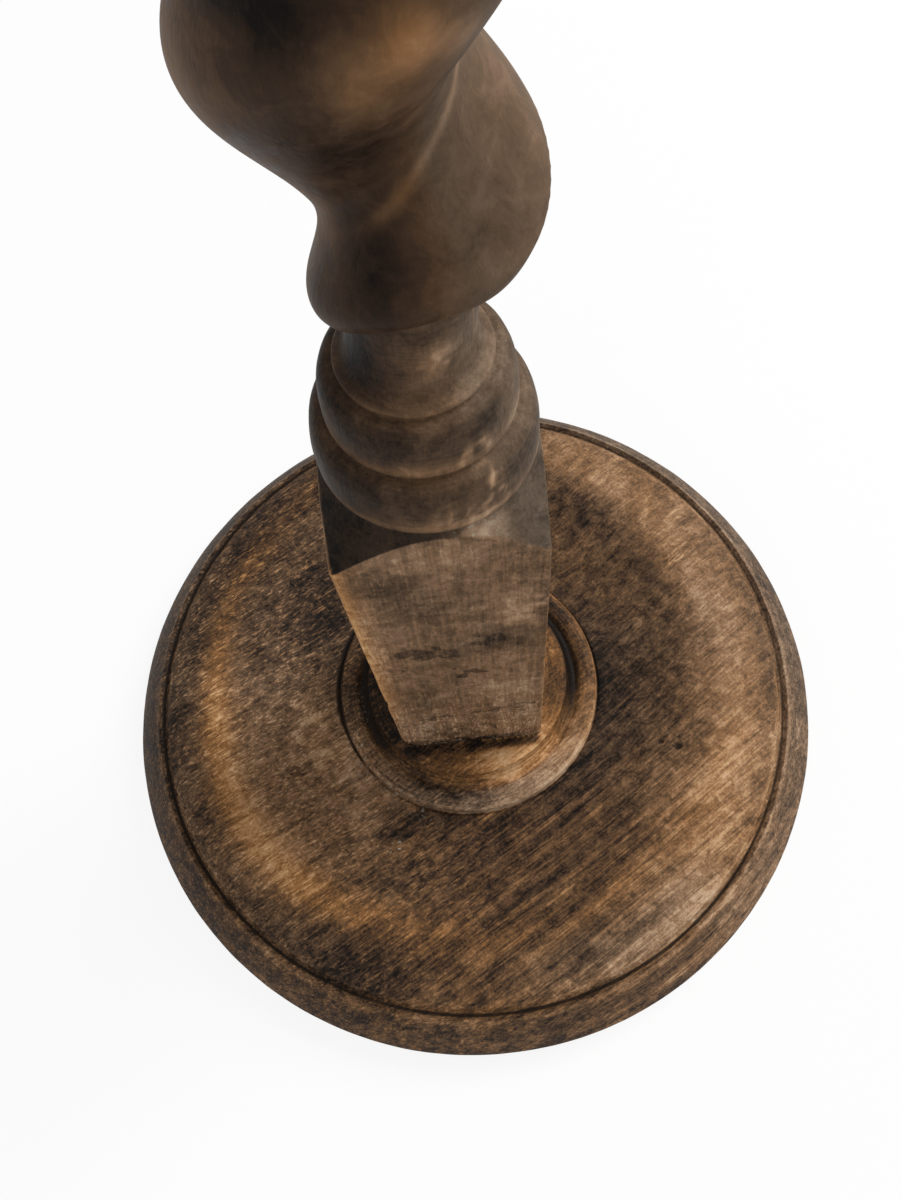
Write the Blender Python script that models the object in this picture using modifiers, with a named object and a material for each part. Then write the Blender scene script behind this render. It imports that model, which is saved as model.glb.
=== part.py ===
"""Wooden plant stand: a round moulded base, a barley-twist column and a round top."""

import math

import bmesh
import bpy

# Driving dimensions, in metres and degrees

# Whole stand
STAND_HEIGHT = 0.892

# Fits
FIT_GAP = 0.0003  # left between pieces that touch
CUT_OVERRUN = 0.002  # how far a cutter runs past the face that it opens

# Base
BASE_RADIUS = 0.140
RIM_HEIGHT = 0.012  # floor to the widest level of the rim
RIM_BEVEL_HEIGHT = 0.0145  # widest level to the top of the bevelled rim
RIM_BEVEL_WIDTH = 0.012
RIM_CROWN = 0.0006  # how far the bevel swells out of flat
RIM_UNDERCUT = 0.002  # how far the rim draws in below its widest level
FOOT_RING_WIDTH = 0.030  # flat ring on which the base stands
BASE_HOLLOW = 0.003  # depth of the hollow under the base
HOLLOW_SLOPE = 0.003  # width of the slope into that hollow
QUIRK_WIDTH = 0.0035  # the groove inside the rim
QUIRK_DEPTH = 0.0018
CREST_INSET = 0.035  # base edge to the crest of the dished top
CREST_RISE = 0.0045  # crest above the rim
DISH_DEPTH = 0.009  # crest down to the floor of the dish
SEAT_RISE = 0.011  # floor of the dish up to the seat of the column
SEAT_MARGIN = 0.0018  # seat left showing round the corners of the block
BOSS_COVE_WIDTH = 0.0042  # hollow round the seat
BOSS_COVE_DEPTH = 0.0081
BOSS_BEAD_WIDTH = 0.0089  # bead round the hollow
BOSS_BEAD_HEIGHT = 0.0027
BOSS_STEP = 0.002  # upright edge of the boss

# Column
BLOCK_WIDTH = 0.054
LOWER_BLOCK_HEIGHT = 0.164  # seat to the corners of the shoulder
UPPER_BLOCK_HEIGHT = 0.090
TENON_RADIUS = 0.016
SHOULDER_RISE = 0.013  # corners of the block to the top of the arch on its faces
SHOULDER_LIP = 0.0015  # how far the shoulder runs in past the faces
BEAD_INSET = 0.0003  # widest moulding inside the faces of the block
BEAD_RISE = 0.0032  # top of the shoulder to the widest level of that moulding
LOWER_OVOLO_WIDTH = 0.0035
LOWER_OVOLO_HEIGHT = 0.0140
UPPER_OVOLO_WIDTH = 0.0042
UPPER_OVOLO_HEIGHT = 0.0135
FILLET_INSET = 0.0006  # step between an ovolo and the fillet by it
FILLET_HEIGHT = 0.0016
NECK_COVE_WIDTH = 0.0037
NECK_COVE_HEIGHT = 0.006
NECK_LENGTH = 0.0061
TWIST_PITCH = 0.074  # rise of the rope in one turn
TWIST_CREST = 0.0287  # column axis to the crest of the rope
TWIST_ROOT = 0.0125  # column axis to the bottom of the hollow
TWIST_END = 0.045  # length of each rounded end
TWIST_END_FULLNESS = 1.3  # 1 is a cone and 2 an ellipse
HOLLOW_RUN_OUT = 0.030  # length in which the hollow comes up to nothing
TWIST_START_ANGLE = 258.0  # side on which the rope's crest starts
END_RISE = 0.0155  # how much higher the rope's lower end starts on its highest side
END_RISE_ANGLE = 283.0  # that side
END_RISE_FOCUS = 3  # how quickly the rise falls off round the column
END_BLUNTING = 1.8  # fullness gained with the rise

# Wedges in the sawn ends of the tenons
WEDGE_THICKNESS = 0.0045
WEDGE_TIP = 0.0015
KERF_ROOT = 0.007  # solid tenon left past the saw cut
WEDGE_ANGLE = 112.0  # across the grain of the base

# Cleat under the top
CLEAT_HUB_HEIGHT = 0.008  # hub below the flange
CLEAT_FLANGE_THICKNESS = 0.010
CLEAT_FLANGE_WIDTH = 0.020
CLEAT_COVE = 0.003  # hollow between hub and flange
CLEAT_EDGE = 0.004  # rounding of the flange

# Top
TOP_RADIUS = 0.130
TOP_THICKNESS = 0.020
TOP_ROLL_WIDTH = 0.012
TOP_ROLL_HEIGHT = 0.013
TOP_UNDERCUT = 0.005  # how far the edge draws in below its widest level
TOP_QUIRK_WIDTH = 0.0035
TOP_QUIRK_DEPTH = 0.0015

# Screws through the cleat
SCREW_COUNT = 4
SCREW_COVER = 0.007  # wood of the top left over each point
SCREW_HEAD_RADIUS = 0.0042
SCREW_HEAD_LAND = 0.0006
SCREW_SHANK_RADIUS = 0.0021
SCREW_CORE_RADIUS = 0.0016
SCREW_TIP_LENGTH = 0.005
SLOT_WIDTH = 0.0012
SLOT_DEPTH = 0.0011

# Facets
BASE_STEPS = 56
COLUMN_STEPS = 28
RINGS_PER_TURN = 12
CLEAT_STEPS = 40
SCREW_STEPS = 16
SHARP_ANGLE = 35.0
WELD_DISTANCE = 0.00001

# Sizes worked out from the driving dimensions

BLOCK_HALF = BLOCK_WIDTH / 2
BLOCK_CORNER = BLOCK_HALF * math.sqrt(2)
MORTISE_RADIUS = TENON_RADIUS + FIT_GAP
SEAT_RADIUS = BLOCK_CORNER + SEAT_MARGIN
KERF_REACH = TENON_RADIUS + CUT_OVERRUN
SHOULDER_SLOPE = (BLOCK_CORNER - BLOCK_HALF) / SHOULDER_RISE

RIM_TOP = RIM_HEIGHT + RIM_BEVEL_HEIGHT
CREST_TOP = RIM_TOP + CREST_RISE
DISH_FLOOR = CREST_TOP - DISH_DEPTH
SEAT_TOP = DISH_FLOOR + SEAT_RISE

BEAD_RADIUS = BLOCK_HALF - BEAD_INSET
BEAD_LEVEL = SHOULDER_RISE + SHOULDER_LIP + BEAD_RISE
LOWER_FILLET_RADIUS = BEAD_RADIUS - LOWER_OVOLO_WIDTH - FILLET_INSET
LOWER_FILLET_LEVEL = BEAD_LEVEL + LOWER_OVOLO_HEIGHT
UPPER_OVOLO_RADIUS = LOWER_FILLET_RADIUS - FILLET_INSET
UPPER_OVOLO_LEVEL = LOWER_FILLET_LEVEL + FILLET_HEIGHT
UPPER_FILLET_RADIUS = UPPER_OVOLO_RADIUS - UPPER_OVOLO_WIDTH - FILLET_INSET
UPPER_FILLET_LEVEL = UPPER_OVOLO_LEVEL + UPPER_OVOLO_HEIGHT
NECK_COVE_LEVEL = UPPER_FILLET_LEVEL + FILLET_HEIGHT
NECK_RADIUS = UPPER_FILLET_RADIUS - NECK_COVE_WIDTH
NECK_TOP = NECK_COVE_LEVEL + NECK_COVE_HEIGHT + NECK_LENGTH

LOWER_TENON_END = BASE_HOLLOW
LOWER_BLOCK_END = SEAT_TOP + FIT_GAP
LOWER_SHOULDER = LOWER_BLOCK_END + LOWER_BLOCK_HEIGHT
TWIST_FOOT = LOWER_SHOULDER + NECK_TOP

TOP_FOOT = STAND_HEIGHT - TOP_THICKNESS
CLEAT_TOP = TOP_FOOT - FIT_GAP
FLANGE_FOOT = CLEAT_TOP - CLEAT_FLANGE_THICKNESS
CLEAT_FOOT = FLANGE_FOOT - CLEAT_HUB_HEIGHT
CLEAT_RADIUS = SEAT_RADIUS + CLEAT_COVE + CLEAT_FLANGE_WIDTH

UPPER_TENON_END = CLEAT_TOP
UPPER_BLOCK_END = CLEAT_FOOT - FIT_GAP
UPPER_SHOULDER = UPPER_BLOCK_END - UPPER_BLOCK_HEIGHT
TWIST_HEAD = UPPER_SHOULDER - NECK_TOP
TWIST_TURNS = (TWIST_HEAD - TWIST_FOOT) / TWIST_PITCH

SCREW_CIRCLE = (SEAT_RADIUS + CLEAT_COVE + CLEAT_RADIUS) / 2
SCREW_LENGTH = TOP_FOOT - FLANGE_FOOT + TOP_THICKNESS - SCREW_COVER

# Colours as the photo shows them, linear RGB
DARK_BEECH = (0.085, 0.045, 0.022, 1.0)
WORN_BEECH = (0.125, 0.066, 0.030, 1.0)
PALE_BEECH = (0.280, 0.165, 0.080, 1.0)
DULL_STEEL = (0.230, 0.215, 0.200, 1.0)


# Helpers


def clear_scene():
    for obj in list(bpy.data.objects):
        bpy.data.objects.remove(obj, do_unlink=True)


def new_collection(name):
    collection = bpy.data.collections.new(name)
    bpy.context.scene.collection.children.link(collection)
    return collection


def new_material(name, colour, roughness, metallic=0.0):
    material = bpy.data.materials.new(name)
    material.use_nodes = True
    shader = material.node_tree.nodes["Principled BSDF"]
    shader.inputs["Base Color"].default_value = colour
    shader.inputs["Roughness"].default_value = roughness
    shader.inputs["Metallic"].default_value = metallic
    return material


def ellipse(centre, width, height, start, end, steps):
    """Points on an ellipse between two angles in degrees, where 0 is outwards and 90 is up."""
    points = []
    for step in range(steps + 1):
        angle = math.radians(start + (end - start) * step / steps)
        points.append((centre[0] + width * math.cos(angle), centre[1] + height * math.sin(angle)))
    return points


def crowned(start, end, crown, steps):
    """Points on a shallow bow between two points, swelling to the left of the way it runs."""
    run = (end[0] - start[0], end[1] - start[1])
    length = math.hypot(run[0], run[1])
    points = []
    for step in range(steps + 1):
        share = step / steps
        swell = 4 * crown * share * (1 - share) / length
        radius = start[0] + run[0] * share - run[1] * swell
        height = start[1] + run[1] * share + run[0] * swell
        points.append((radius, height))
    return points


def turned_mesh(name, profile, steps, closed=False):
    """Mesh turned about Z from (radius, height) points that run down the outer side."""
    points = [(radius, 0.0, height) for radius, height in profile]
    edges = [(i, i + 1) for i in range(len(points) - 1)]
    if closed:
        edges.append((len(points) - 1, 0))
    outline = bpy.data.meshes.new(name + "_profile")
    outline.from_pydata(points, edges, [])
    turning = bpy.data.objects.new(name + "_turning", outline)
    bpy.context.scene.collection.objects.link(turning)
    lathe = turning.modifiers.new("Lathe", "SCREW")
    lathe.steps = steps
    lathe.render_steps = steps
    lathe.use_merge_vertices = True
    lathe.merge_threshold = WELD_DISTANCE
    graph = bpy.context.evaluated_depsgraph_get()
    mesh = bpy.data.meshes.new_from_object(turning.evaluated_get(graph))
    mesh.name = name
    bpy.data.objects.remove(turning, do_unlink=True)
    bpy.data.meshes.remove(outline)
    mesh.shade_smooth()
    mesh.set_sharp_from_angle(angle=math.radians(SHARP_ANGLE))
    return mesh


def box_mesh(name, boxes):
    """Mesh of separate boxes, each given by its lowest and highest corner."""
    shape = bmesh.new()
    for low, high in boxes:
        corners = bmesh.ops.create_cube(shape, size=1.0)["verts"]
        for vertex in corners:
            for axis in range(3):
                vertex.co[axis] = high[axis] if vertex.co[axis] > 0 else low[axis]
    mesh = bpy.data.meshes.new(name)
    shape.to_mesh(mesh)
    shape.free()
    return mesh


def wedge_mesh(name, length, half_width, grow, overrun):
    """Wedge with its thick end at the origin and its tip up; grow and overrun make its cutter."""
    low = -overrun
    high = length + grow
    half = WEDGE_THICKNESS / 2
    mesh = box_mesh(name, [((-half, -half_width, low), (half, half_width, high))])
    taper = (WEDGE_TIP - WEDGE_THICKNESS) / length
    for vertex in mesh.vertices:
        thickness = WEDGE_THICKNESS + taper * vertex.co.z + 2 * grow
        vertex.co.x = math.copysign(thickness / 2, vertex.co.x)
    return mesh


class Workshop:
    """Places finished pieces and cutters in their collections."""

    def __init__(self):
        clear_scene()
        self.parts = new_collection("plant_stand")
        self.cutters = new_collection("cutters")
        self.stand = bpy.data.objects.new("stand", None)
        self.parts.objects.link(self.stand)

    def piece(self, name, mesh, material):
        piece = bpy.data.objects.new(name, mesh)
        mesh.materials.clear()
        mesh.materials.append(material)
        piece.parent = self.stand
        self.parts.objects.link(piece)
        return piece

    def cut(self, piece, cutter_name, mesh, location=(0, 0, 0), rotation=(0, 0, 0)):
        cutter = bpy.data.objects.new(cutter_name, mesh)
        cutter.location = location
        cutter.rotation_euler = rotation
        cutter.hide_render = True
        cutter.display_type = "WIRE"
        self.cutters.objects.link(cutter)
        boolean = piece.modifiers.new(cutter_name, "BOOLEAN")
        boolean.operation = "DIFFERENCE"
        boolean.object = cutter


# Base


def base_profile():
    """Section of the base, from the top of the mortise round the outside and back."""
    cove = (SEAT_RADIUS + BOSS_COVE_WIDTH, SEAT_TOP)
    bead_half = BOSS_BEAD_WIDTH / 2
    bead = (cove[0] + bead_half, DISH_FLOOR + BOSS_STEP)
    boss_edge = bead[0] + bead_half
    crest_radius = BASE_RADIUS - CREST_INSET
    rim_inner = BASE_RADIUS - RIM_BEVEL_WIDTH
    dish_edge = rim_inner - QUIRK_WIDTH
    foot_outer = BASE_RADIUS - RIM_UNDERCUT
    foot_inner = foot_outer - FOOT_RING_WIDTH

    points = [(MORTISE_RADIUS, SEAT_TOP)]
    points += ellipse(cove, BOSS_COVE_WIDTH, BOSS_COVE_DEPTH, 180, 270, 3)
    points += ellipse(bead, bead_half, BOSS_BEAD_HEIGHT, 150, 0, 5)
    dish_steps = 7
    for step in range(dish_steps + 1):
        share = step / dish_steps
        radius = boss_edge + (crest_radius - boss_edge) * share
        rise = DISH_DEPTH * (1 - math.cos(math.pi * share)) / 2
        points.append((radius, DISH_FLOOR + rise))
    points += ellipse((crest_radius, RIM_TOP), dish_edge - crest_radius, CREST_RISE, 72, 18, 3)
    points.append((dish_edge, RIM_TOP))
    points.append((dish_edge + QUIRK_WIDTH / 2, RIM_TOP - QUIRK_DEPTH))
    points += crowned((rim_inner, RIM_TOP), (BASE_RADIUS, RIM_HEIGHT), RIM_CROWN, 3)
    points += ellipse((foot_outer, RIM_HEIGHT), RIM_UNDERCUT, RIM_HEIGHT, -30, -90, 2)
    points.append((foot_inner, 0.0))
    points.append((foot_inner - HOLLOW_SLOPE, BASE_HOLLOW))
    points.append((MORTISE_RADIUS, BASE_HOLLOW))
    return points


def make_base(workshop):
    mesh = turned_mesh("base", base_profile(), BASE_STEPS, closed=True)
    return workshop.piece("base", mesh, new_material("base_beech", WORN_BEECH, 0.55))


# Column


def end_section():
    """Mouldings of a column end as (radius, height) points from the block's corners to the neck."""
    shoulder_radius = BLOCK_HALF - SHOULDER_LIP * SHOULDER_SLOPE
    points = [(shoulder_radius, SHOULDER_RISE + SHOULDER_LIP)]
    lower_width = BEAD_RADIUS - shoulder_radius
    points += ellipse((shoulder_radius, BEAD_LEVEL), lower_width, BEAD_RISE, -60, -30, 1)
    lower_ovolo = (BEAD_RADIUS - LOWER_OVOLO_WIDTH, BEAD_LEVEL)
    points += ellipse(lower_ovolo, LOWER_OVOLO_WIDTH, LOWER_OVOLO_HEIGHT, 0, 90, 4)
    points.append((LOWER_FILLET_RADIUS, LOWER_FILLET_LEVEL))
    points.append((LOWER_FILLET_RADIUS, UPPER_OVOLO_LEVEL))
    upper_ovolo = (UPPER_OVOLO_RADIUS - UPPER_OVOLO_WIDTH, UPPER_OVOLO_LEVEL)
    points += ellipse(upper_ovolo, UPPER_OVOLO_WIDTH, UPPER_OVOLO_HEIGHT, 0, 90, 4)
    points.append((UPPER_FILLET_RADIUS, UPPER_FILLET_LEVEL))
    neck_cove = (UPPER_FILLET_RADIUS, NECK_COVE_LEVEL + NECK_COVE_HEIGHT)
    points += ellipse(neck_cove, NECK_COVE_WIDTH, NECK_COVE_HEIGHT, 270, 180, 3)
    points.append((NECK_RADIUS, NECK_TOP))
    return points


def column_profile():
    """Section of the turned blank, from the upper tenon down to the lower one."""
    blank_radius = BLOCK_CORNER + CUT_OVERRUN
    shoulder_start = -CUT_OVERRUN / SHOULDER_SLOPE
    section = [(blank_radius, shoulder_start)] + end_section()
    rings = round(TWIST_TURNS * RINGS_PER_TURN)
    points = [
        (0.0, UPPER_TENON_END),
        (TENON_RADIUS, UPPER_TENON_END),
        (TENON_RADIUS, UPPER_BLOCK_END),
        (blank_radius, UPPER_BLOCK_END),
    ]
    points += [(radius, UPPER_SHOULDER - height) for radius, height in section]
    for ring in range(rings - 1, 0, -1):
        points.append((TWIST_CREST, TWIST_FOOT + (TWIST_HEAD - TWIST_FOOT) * ring / rings))
    points += [(radius, LOWER_SHOULDER + height) for radius, height in reversed(section)]
    points += [
        (blank_radius, LOWER_BLOCK_END),
        (TENON_RADIUS, LOWER_BLOCK_END),
        (TENON_RADIUS, LOWER_TENON_END),
        (0.0, LOWER_TENON_END),
    ]
    return points


def smooth_step(share):
    share = min(max(share, 0.0), 1.0)
    return share * share * (3 - 2 * share)


def lower_end_rise(angle):
    """How far above the neck the rope's lower end starts on a side of the column."""
    facing = (1 + math.cos(angle - math.radians(END_RISE_ANGLE))) / 2
    return END_RISE * facing**END_RISE_FOCUS


def twist_radius(angle, height):
    """Radius of the twist: a rope that winds up the column, rounded off at both ends."""
    rise = lower_end_rise(angle) if height < (TWIST_FOOT + TWIST_HEAD) / 2 else 0.0
    end_distance = max(min(height - TWIST_FOOT - rise, TWIST_HEAD - height), 0.0)
    end_share = min(end_distance / (TWIST_END - rise), 1.0)
    power = TWIST_END_FULLNESS + END_BLUNTING * rise / TWIST_END
    fullness = (1 - (1 - end_share) ** power) ** (1 / power)
    turned = NECK_RADIUS + (TWIST_CREST - NECK_RADIUS) * fullness
    turns = (height - TWIST_FOOT) / TWIST_PITCH
    phase = angle - math.radians(TWIST_START_ANGLE) - 2 * math.pi * turns
    rope = TWIST_ROOT + (TWIST_CREST - TWIST_ROOT) * (1 + math.cos(phase)) / 2
    carved = max(turned - rope, 0.0)
    return turned - carved * smooth_step(end_distance / HOLLOW_RUN_OUT)


def carve_twist(mesh):
    for vertex in mesh.vertices:
        x, y, height = vertex.co
        if not TWIST_FOOT + FIT_GAP < height < TWIST_HEAD - FIT_GAP:
            continue
        angle = math.atan2(y, x)
        radius = twist_radius(angle, height)
        vertex.co.x = radius * math.cos(angle)
        vertex.co.y = radius * math.sin(angle)


def cut_block(workshop, column, name, low, high):
    """Cuts the four flat faces of a block into the turned blank."""
    near = BLOCK_HALF
    far = BLOCK_CORNER + 2 * CUT_OVERRUN
    sides = [((near, -far, low), (far, far, high)), ((-far, -far, low), (-near, far, high))]
    for turn in (0, 1):
        side_name = f"{name}_faces_{turn + 1}"
        rotation = (0, 0, turn * math.pi / 2)
        workshop.cut(column, side_name, box_mesh(side_name, sides), rotation=rotation)


def make_column(workshop):
    mesh = turned_mesh("column", column_profile(), COLUMN_STEPS)
    carve_twist(mesh)
    column = workshop.piece("column", mesh, new_material("column_beech", DARK_BEECH, 0.45))
    lower_top = LOWER_SHOULDER + BEAD_LEVEL
    upper_foot = UPPER_SHOULDER - BEAD_LEVEL
    cut_block(workshop, column, "lower_block", LOWER_BLOCK_END - CUT_OVERRUN, lower_top)
    cut_block(workshop, column, "upper_block", upper_foot, UPPER_BLOCK_END + CUT_OVERRUN)
    return column


def make_wedge(workshop, column, name, tenon_length, end, rotation, material):
    """Makes a wedge and the saw cut in the tenon that it fits."""
    length = tenon_length - KERF_ROOT
    half_width = math.sqrt(TENON_RADIUS**2 - (WEDGE_THICKNESS / 2) ** 2)
    kerf = wedge_mesh(name + "_kerf", length, KERF_REACH, FIT_GAP, CUT_OVERRUN)
    workshop.cut(column, name + "_kerf", kerf, end, rotation)
    wedge = workshop.piece(name, wedge_mesh(name, length, half_width, 0.0, 0.0), material)
    wedge.location = end
    wedge.rotation_euler = rotation
    return wedge


def make_wedges(workshop, column):
    material = new_material("wedge_beech", PALE_BEECH, 0.6)
    turn = math.radians(WEDGE_ANGLE)
    lower_length = LOWER_BLOCK_END - LOWER_TENON_END
    upper_length = UPPER_TENON_END - UPPER_BLOCK_END
    lower_end = (0, 0, LOWER_TENON_END)
    upper_end = (0, 0, UPPER_TENON_END)
    make_wedge(workshop, column, "lower_tenon_wedge", lower_length, lower_end, (0, 0, turn), material)
    make_wedge(workshop, column, "upper_tenon_wedge", upper_length, upper_end, (math.pi, 0, turn), material)


# Cleat, top and screws


def screw_profile(grow, overrun):
    """Section of a screw with its head at the origin and its point up; grow makes its hole."""
    head = SCREW_HEAD_RADIUS + grow
    shank = SCREW_SHANK_RADIUS + grow
    core = SCREW_CORE_RADIUS + grow
    cone_top = SCREW_HEAD_LAND + SCREW_HEAD_RADIUS - SCREW_SHANK_RADIUS
    thread_start = TOP_FOOT - FLANGE_FOOT
    return [
        (0.0, SCREW_LENGTH + grow),
        (core, SCREW_LENGTH - SCREW_TIP_LENGTH + grow),
        (core, thread_start),
        (shank, thread_start - FIT_GAP),
        (shank, cone_top),
        (head, SCREW_HEAD_LAND),
        (head, -overrun),
        (0.0, -overrun),
    ]


def screw_places():
    for index in range(SCREW_COUNT):
        angle = 2 * math.pi * (index + 0.5) / SCREW_COUNT
        yield index + 1, (SCREW_CIRCLE * math.cos(angle), SCREW_CIRCLE * math.sin(angle), FLANGE_FOOT)


def cleat_profile():
    """Section of the cleat, from the top of the mortise round the outside and back."""
    cove = (SEAT_RADIUS + CLEAT_COVE, FLANGE_FOOT - CLEAT_COVE)
    edge = (CLEAT_RADIUS - CLEAT_EDGE, FLANGE_FOOT + CLEAT_EDGE)
    points = [(MORTISE_RADIUS, CLEAT_TOP), (CLEAT_RADIUS, CLEAT_TOP)]
    points += ellipse(edge, CLEAT_EDGE, CLEAT_EDGE, 0, -90, 4)
    points += ellipse(cove, CLEAT_COVE, CLEAT_COVE, 90, 180, 3)
    points.append((SEAT_RADIUS, CLEAT_FOOT))
    points.append((MORTISE_RADIUS, CLEAT_FOOT))
    return points


def make_cleat(workshop):
    mesh = turned_mesh("top_cleat", cleat_profile(), CLEAT_STEPS, closed=True)
    cleat = workshop.piece("top_cleat", mesh, new_material("cleat_beech", WORN_BEECH, 0.55))
    cut_screw_holes(workshop, cleat)
    return cleat


def top_profile():
    """Section of the top, from the middle of its upper face round the edge to its underside."""
    face = STAND_HEIGHT
    roll_inner = TOP_RADIUS - TOP_ROLL_WIDTH
    roll_level = face - TOP_ROLL_HEIGHT
    edge_drop = roll_level - TOP_FOOT
    points = [(0.0, face)]
    points.append((roll_inner - TOP_QUIRK_WIDTH, face))
    points.append((roll_inner - TOP_QUIRK_WIDTH / 2, face - TOP_QUIRK_DEPTH))
    points += ellipse((roll_inner, roll_level), TOP_ROLL_WIDTH, TOP_ROLL_HEIGHT, 90, 0, 6)
    points += ellipse((TOP_RADIUS - TOP_UNDERCUT, roll_level), TOP_UNDERCUT, edge_drop, -30, -90, 2)
    points.append((0.0, TOP_FOOT))
    return points


def make_top(workshop):
    mesh = turned_mesh("top", top_profile(), BASE_STEPS)
    top = workshop.piece("top", mesh, new_material("top_beech", WORN_BEECH, 0.5))
    cut_screw_holes(workshop, top)
    return top


def cut_screw_holes(workshop, piece):
    for number, place in screw_places():
        name = f"{piece.name}_screw_hole_{number}"
        hole = turned_mesh(name, screw_profile(FIT_GAP, CUT_OVERRUN), SCREW_STEPS)
        workshop.cut(piece, name, hole, place)


def make_screws(workshop):
    material = new_material("screw_steel", DULL_STEEL, 0.45, metallic=1.0)
    half_slot = SLOT_WIDTH / 2
    slot_long = 2 * SCREW_HEAD_RADIUS
    slot_box = [((-slot_long, -half_slot, -CUT_OVERRUN), (slot_long, half_slot, SLOT_DEPTH))]
    for number, place in screw_places():
        name = f"cleat_screw_{number}"
        screw = workshop.piece(name, turned_mesh(name, screw_profile(0.0, 0.0), SCREW_STEPS), material)
        screw.location = place
        workshop.cut(screw, name + "_slot", box_mesh(name + "_slot", slot_box), place)


def main():
    workshop = Workshop()
    make_base(workshop)
    column = make_column(workshop)
    make_wedges(workshop, column)
    make_cleat(workshop)
    make_top(workshop)
    make_screws(workshop)


main()
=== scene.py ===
"""Looks of the plant stand: pieces of worn, stained beech, with floor, light and camera."""

import math

import bpy
import numpy as np
from mathutils import Matrix, Vector, noise


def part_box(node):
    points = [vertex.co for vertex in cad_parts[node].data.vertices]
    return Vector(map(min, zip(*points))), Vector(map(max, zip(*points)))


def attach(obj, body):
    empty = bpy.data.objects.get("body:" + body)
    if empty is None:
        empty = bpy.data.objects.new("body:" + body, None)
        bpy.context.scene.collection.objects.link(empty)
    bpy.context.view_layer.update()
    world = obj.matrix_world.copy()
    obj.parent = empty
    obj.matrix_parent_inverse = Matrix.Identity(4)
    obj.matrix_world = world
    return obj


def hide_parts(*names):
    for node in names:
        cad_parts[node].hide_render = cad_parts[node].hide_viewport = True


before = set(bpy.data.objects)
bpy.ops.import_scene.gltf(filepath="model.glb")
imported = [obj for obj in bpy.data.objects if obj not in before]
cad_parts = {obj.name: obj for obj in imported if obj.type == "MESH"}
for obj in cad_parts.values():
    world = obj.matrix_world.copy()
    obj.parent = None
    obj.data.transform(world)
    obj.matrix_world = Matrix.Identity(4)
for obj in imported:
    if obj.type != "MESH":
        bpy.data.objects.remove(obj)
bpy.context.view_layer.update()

# Sizes from the frame, in metres

BODY = "root"
FIT_GAP = 0.0003  # left between solids that touch
GLUE_LINE = 0.00004  # left where glue closes that gap
BASE_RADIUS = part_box("base")[1].x
SEAT_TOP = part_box("base")[1].z
COLUMN_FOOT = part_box("column")[0].z
COLUMN_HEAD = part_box("column")[1].z
CLEAT_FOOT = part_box("top_cleat")[0].z
CLEAT_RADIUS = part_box("top_cleat")[1].x
TOP_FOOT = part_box("top")[0].z
CLEAT_TOP = TOP_FOOT - GLUE_LINE
TOP_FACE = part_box("top")[1].z
TOP_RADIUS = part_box("top")[1].x

# Base

RIM_HEIGHT = 0.012
RIM_BEVEL_HEIGHT = 0.0145
RIM_BEVEL_WIDTH = 0.012
RIM_CROWN = 0.0006
RIM_UNDERCUT = 0.002
FOOT_RING_WIDTH = 0.030
BASE_HOLLOW = 0.003
HOLLOW_SLOPE = 0.003
QUIRK_WIDTH = 0.0035
QUIRK_DEPTH = 0.0018
CREST_INSET = 0.035
CREST_RISE = 0.0045
DISH_DEPTH = 0.009
SEAT_MARGIN = 0.0018
BOSS_COVE_WIDTH = 0.0042
BOSS_COVE_DEPTH = 0.0081
BOSS_BEAD_WIDTH = 0.0089
BOSS_BEAD_HEIGHT = 0.0027
BOSS_STEP = 0.002
BOSS_LINE_DEPTH = 0.0006
PIT_DEPTH = 0.0008

# Column

BLOCK_HALF = 0.027
ARRIS_RADIUS = 0.0009
LOWER_BLOCK_HEIGHT = 0.164
UPPER_BLOCK_HEIGHT = 0.090
TENON_RADIUS = 0.016
SHOULDER_RISE = 0.013
SHOULDER_LIP = 0.0015
BEAD_INSET = 0.0003
BEAD_RISE = 0.0032
OVOLO_FULLNESS = 2.7
LOWER_OVOLO = (0.0052, 0.0140)  # width and height
UPPER_OVOLO = (0.0046, 0.0138)
NOSE_DEPTH = 0.0010
NOSE_HEIGHT = 0.0026
MIDDLE_NOSE_RADIUS = 0.0220
UPPER_NOSE_RADIUS = 0.0172
NECK_RADIUS = 0.0135
NECK_COVE_HEIGHT = 0.006
NECK_TOP = 0.0605
MOULDING_ROUNDING = 0.0006
COLUMN_LEAN = -0.0011  # how far the mouldings stand to one side
TWIST_PITCH = 0.074
TWIST_CREST = 0.0287
TWIST_ROOT = 0.0125
TWIST_END = 0.045
TWIST_END_FULLNESS = 1.3
HOLLOW_RUN_OUT = 0.030
TWIST_START_ANGLE = 258.0
END_RISE = 0.0155  # how much higher the rope's lower end starts on its highest side
END_RISE_ANGLE = 283.0
END_RISE_FOCUS = 3
END_BLUNTING = 1.8
WEDGE_THICKNESS = 0.0045
WEDGE_TIP = 0.0015
KERF_ROOT = 0.007  # solid tenon left past the saw cut
WEDGE_ANGLE = 112.0
CHIP_PLACE = 0.0268  # a chipped corner of a block, in x and in y

# Cleat, top and screws

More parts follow.
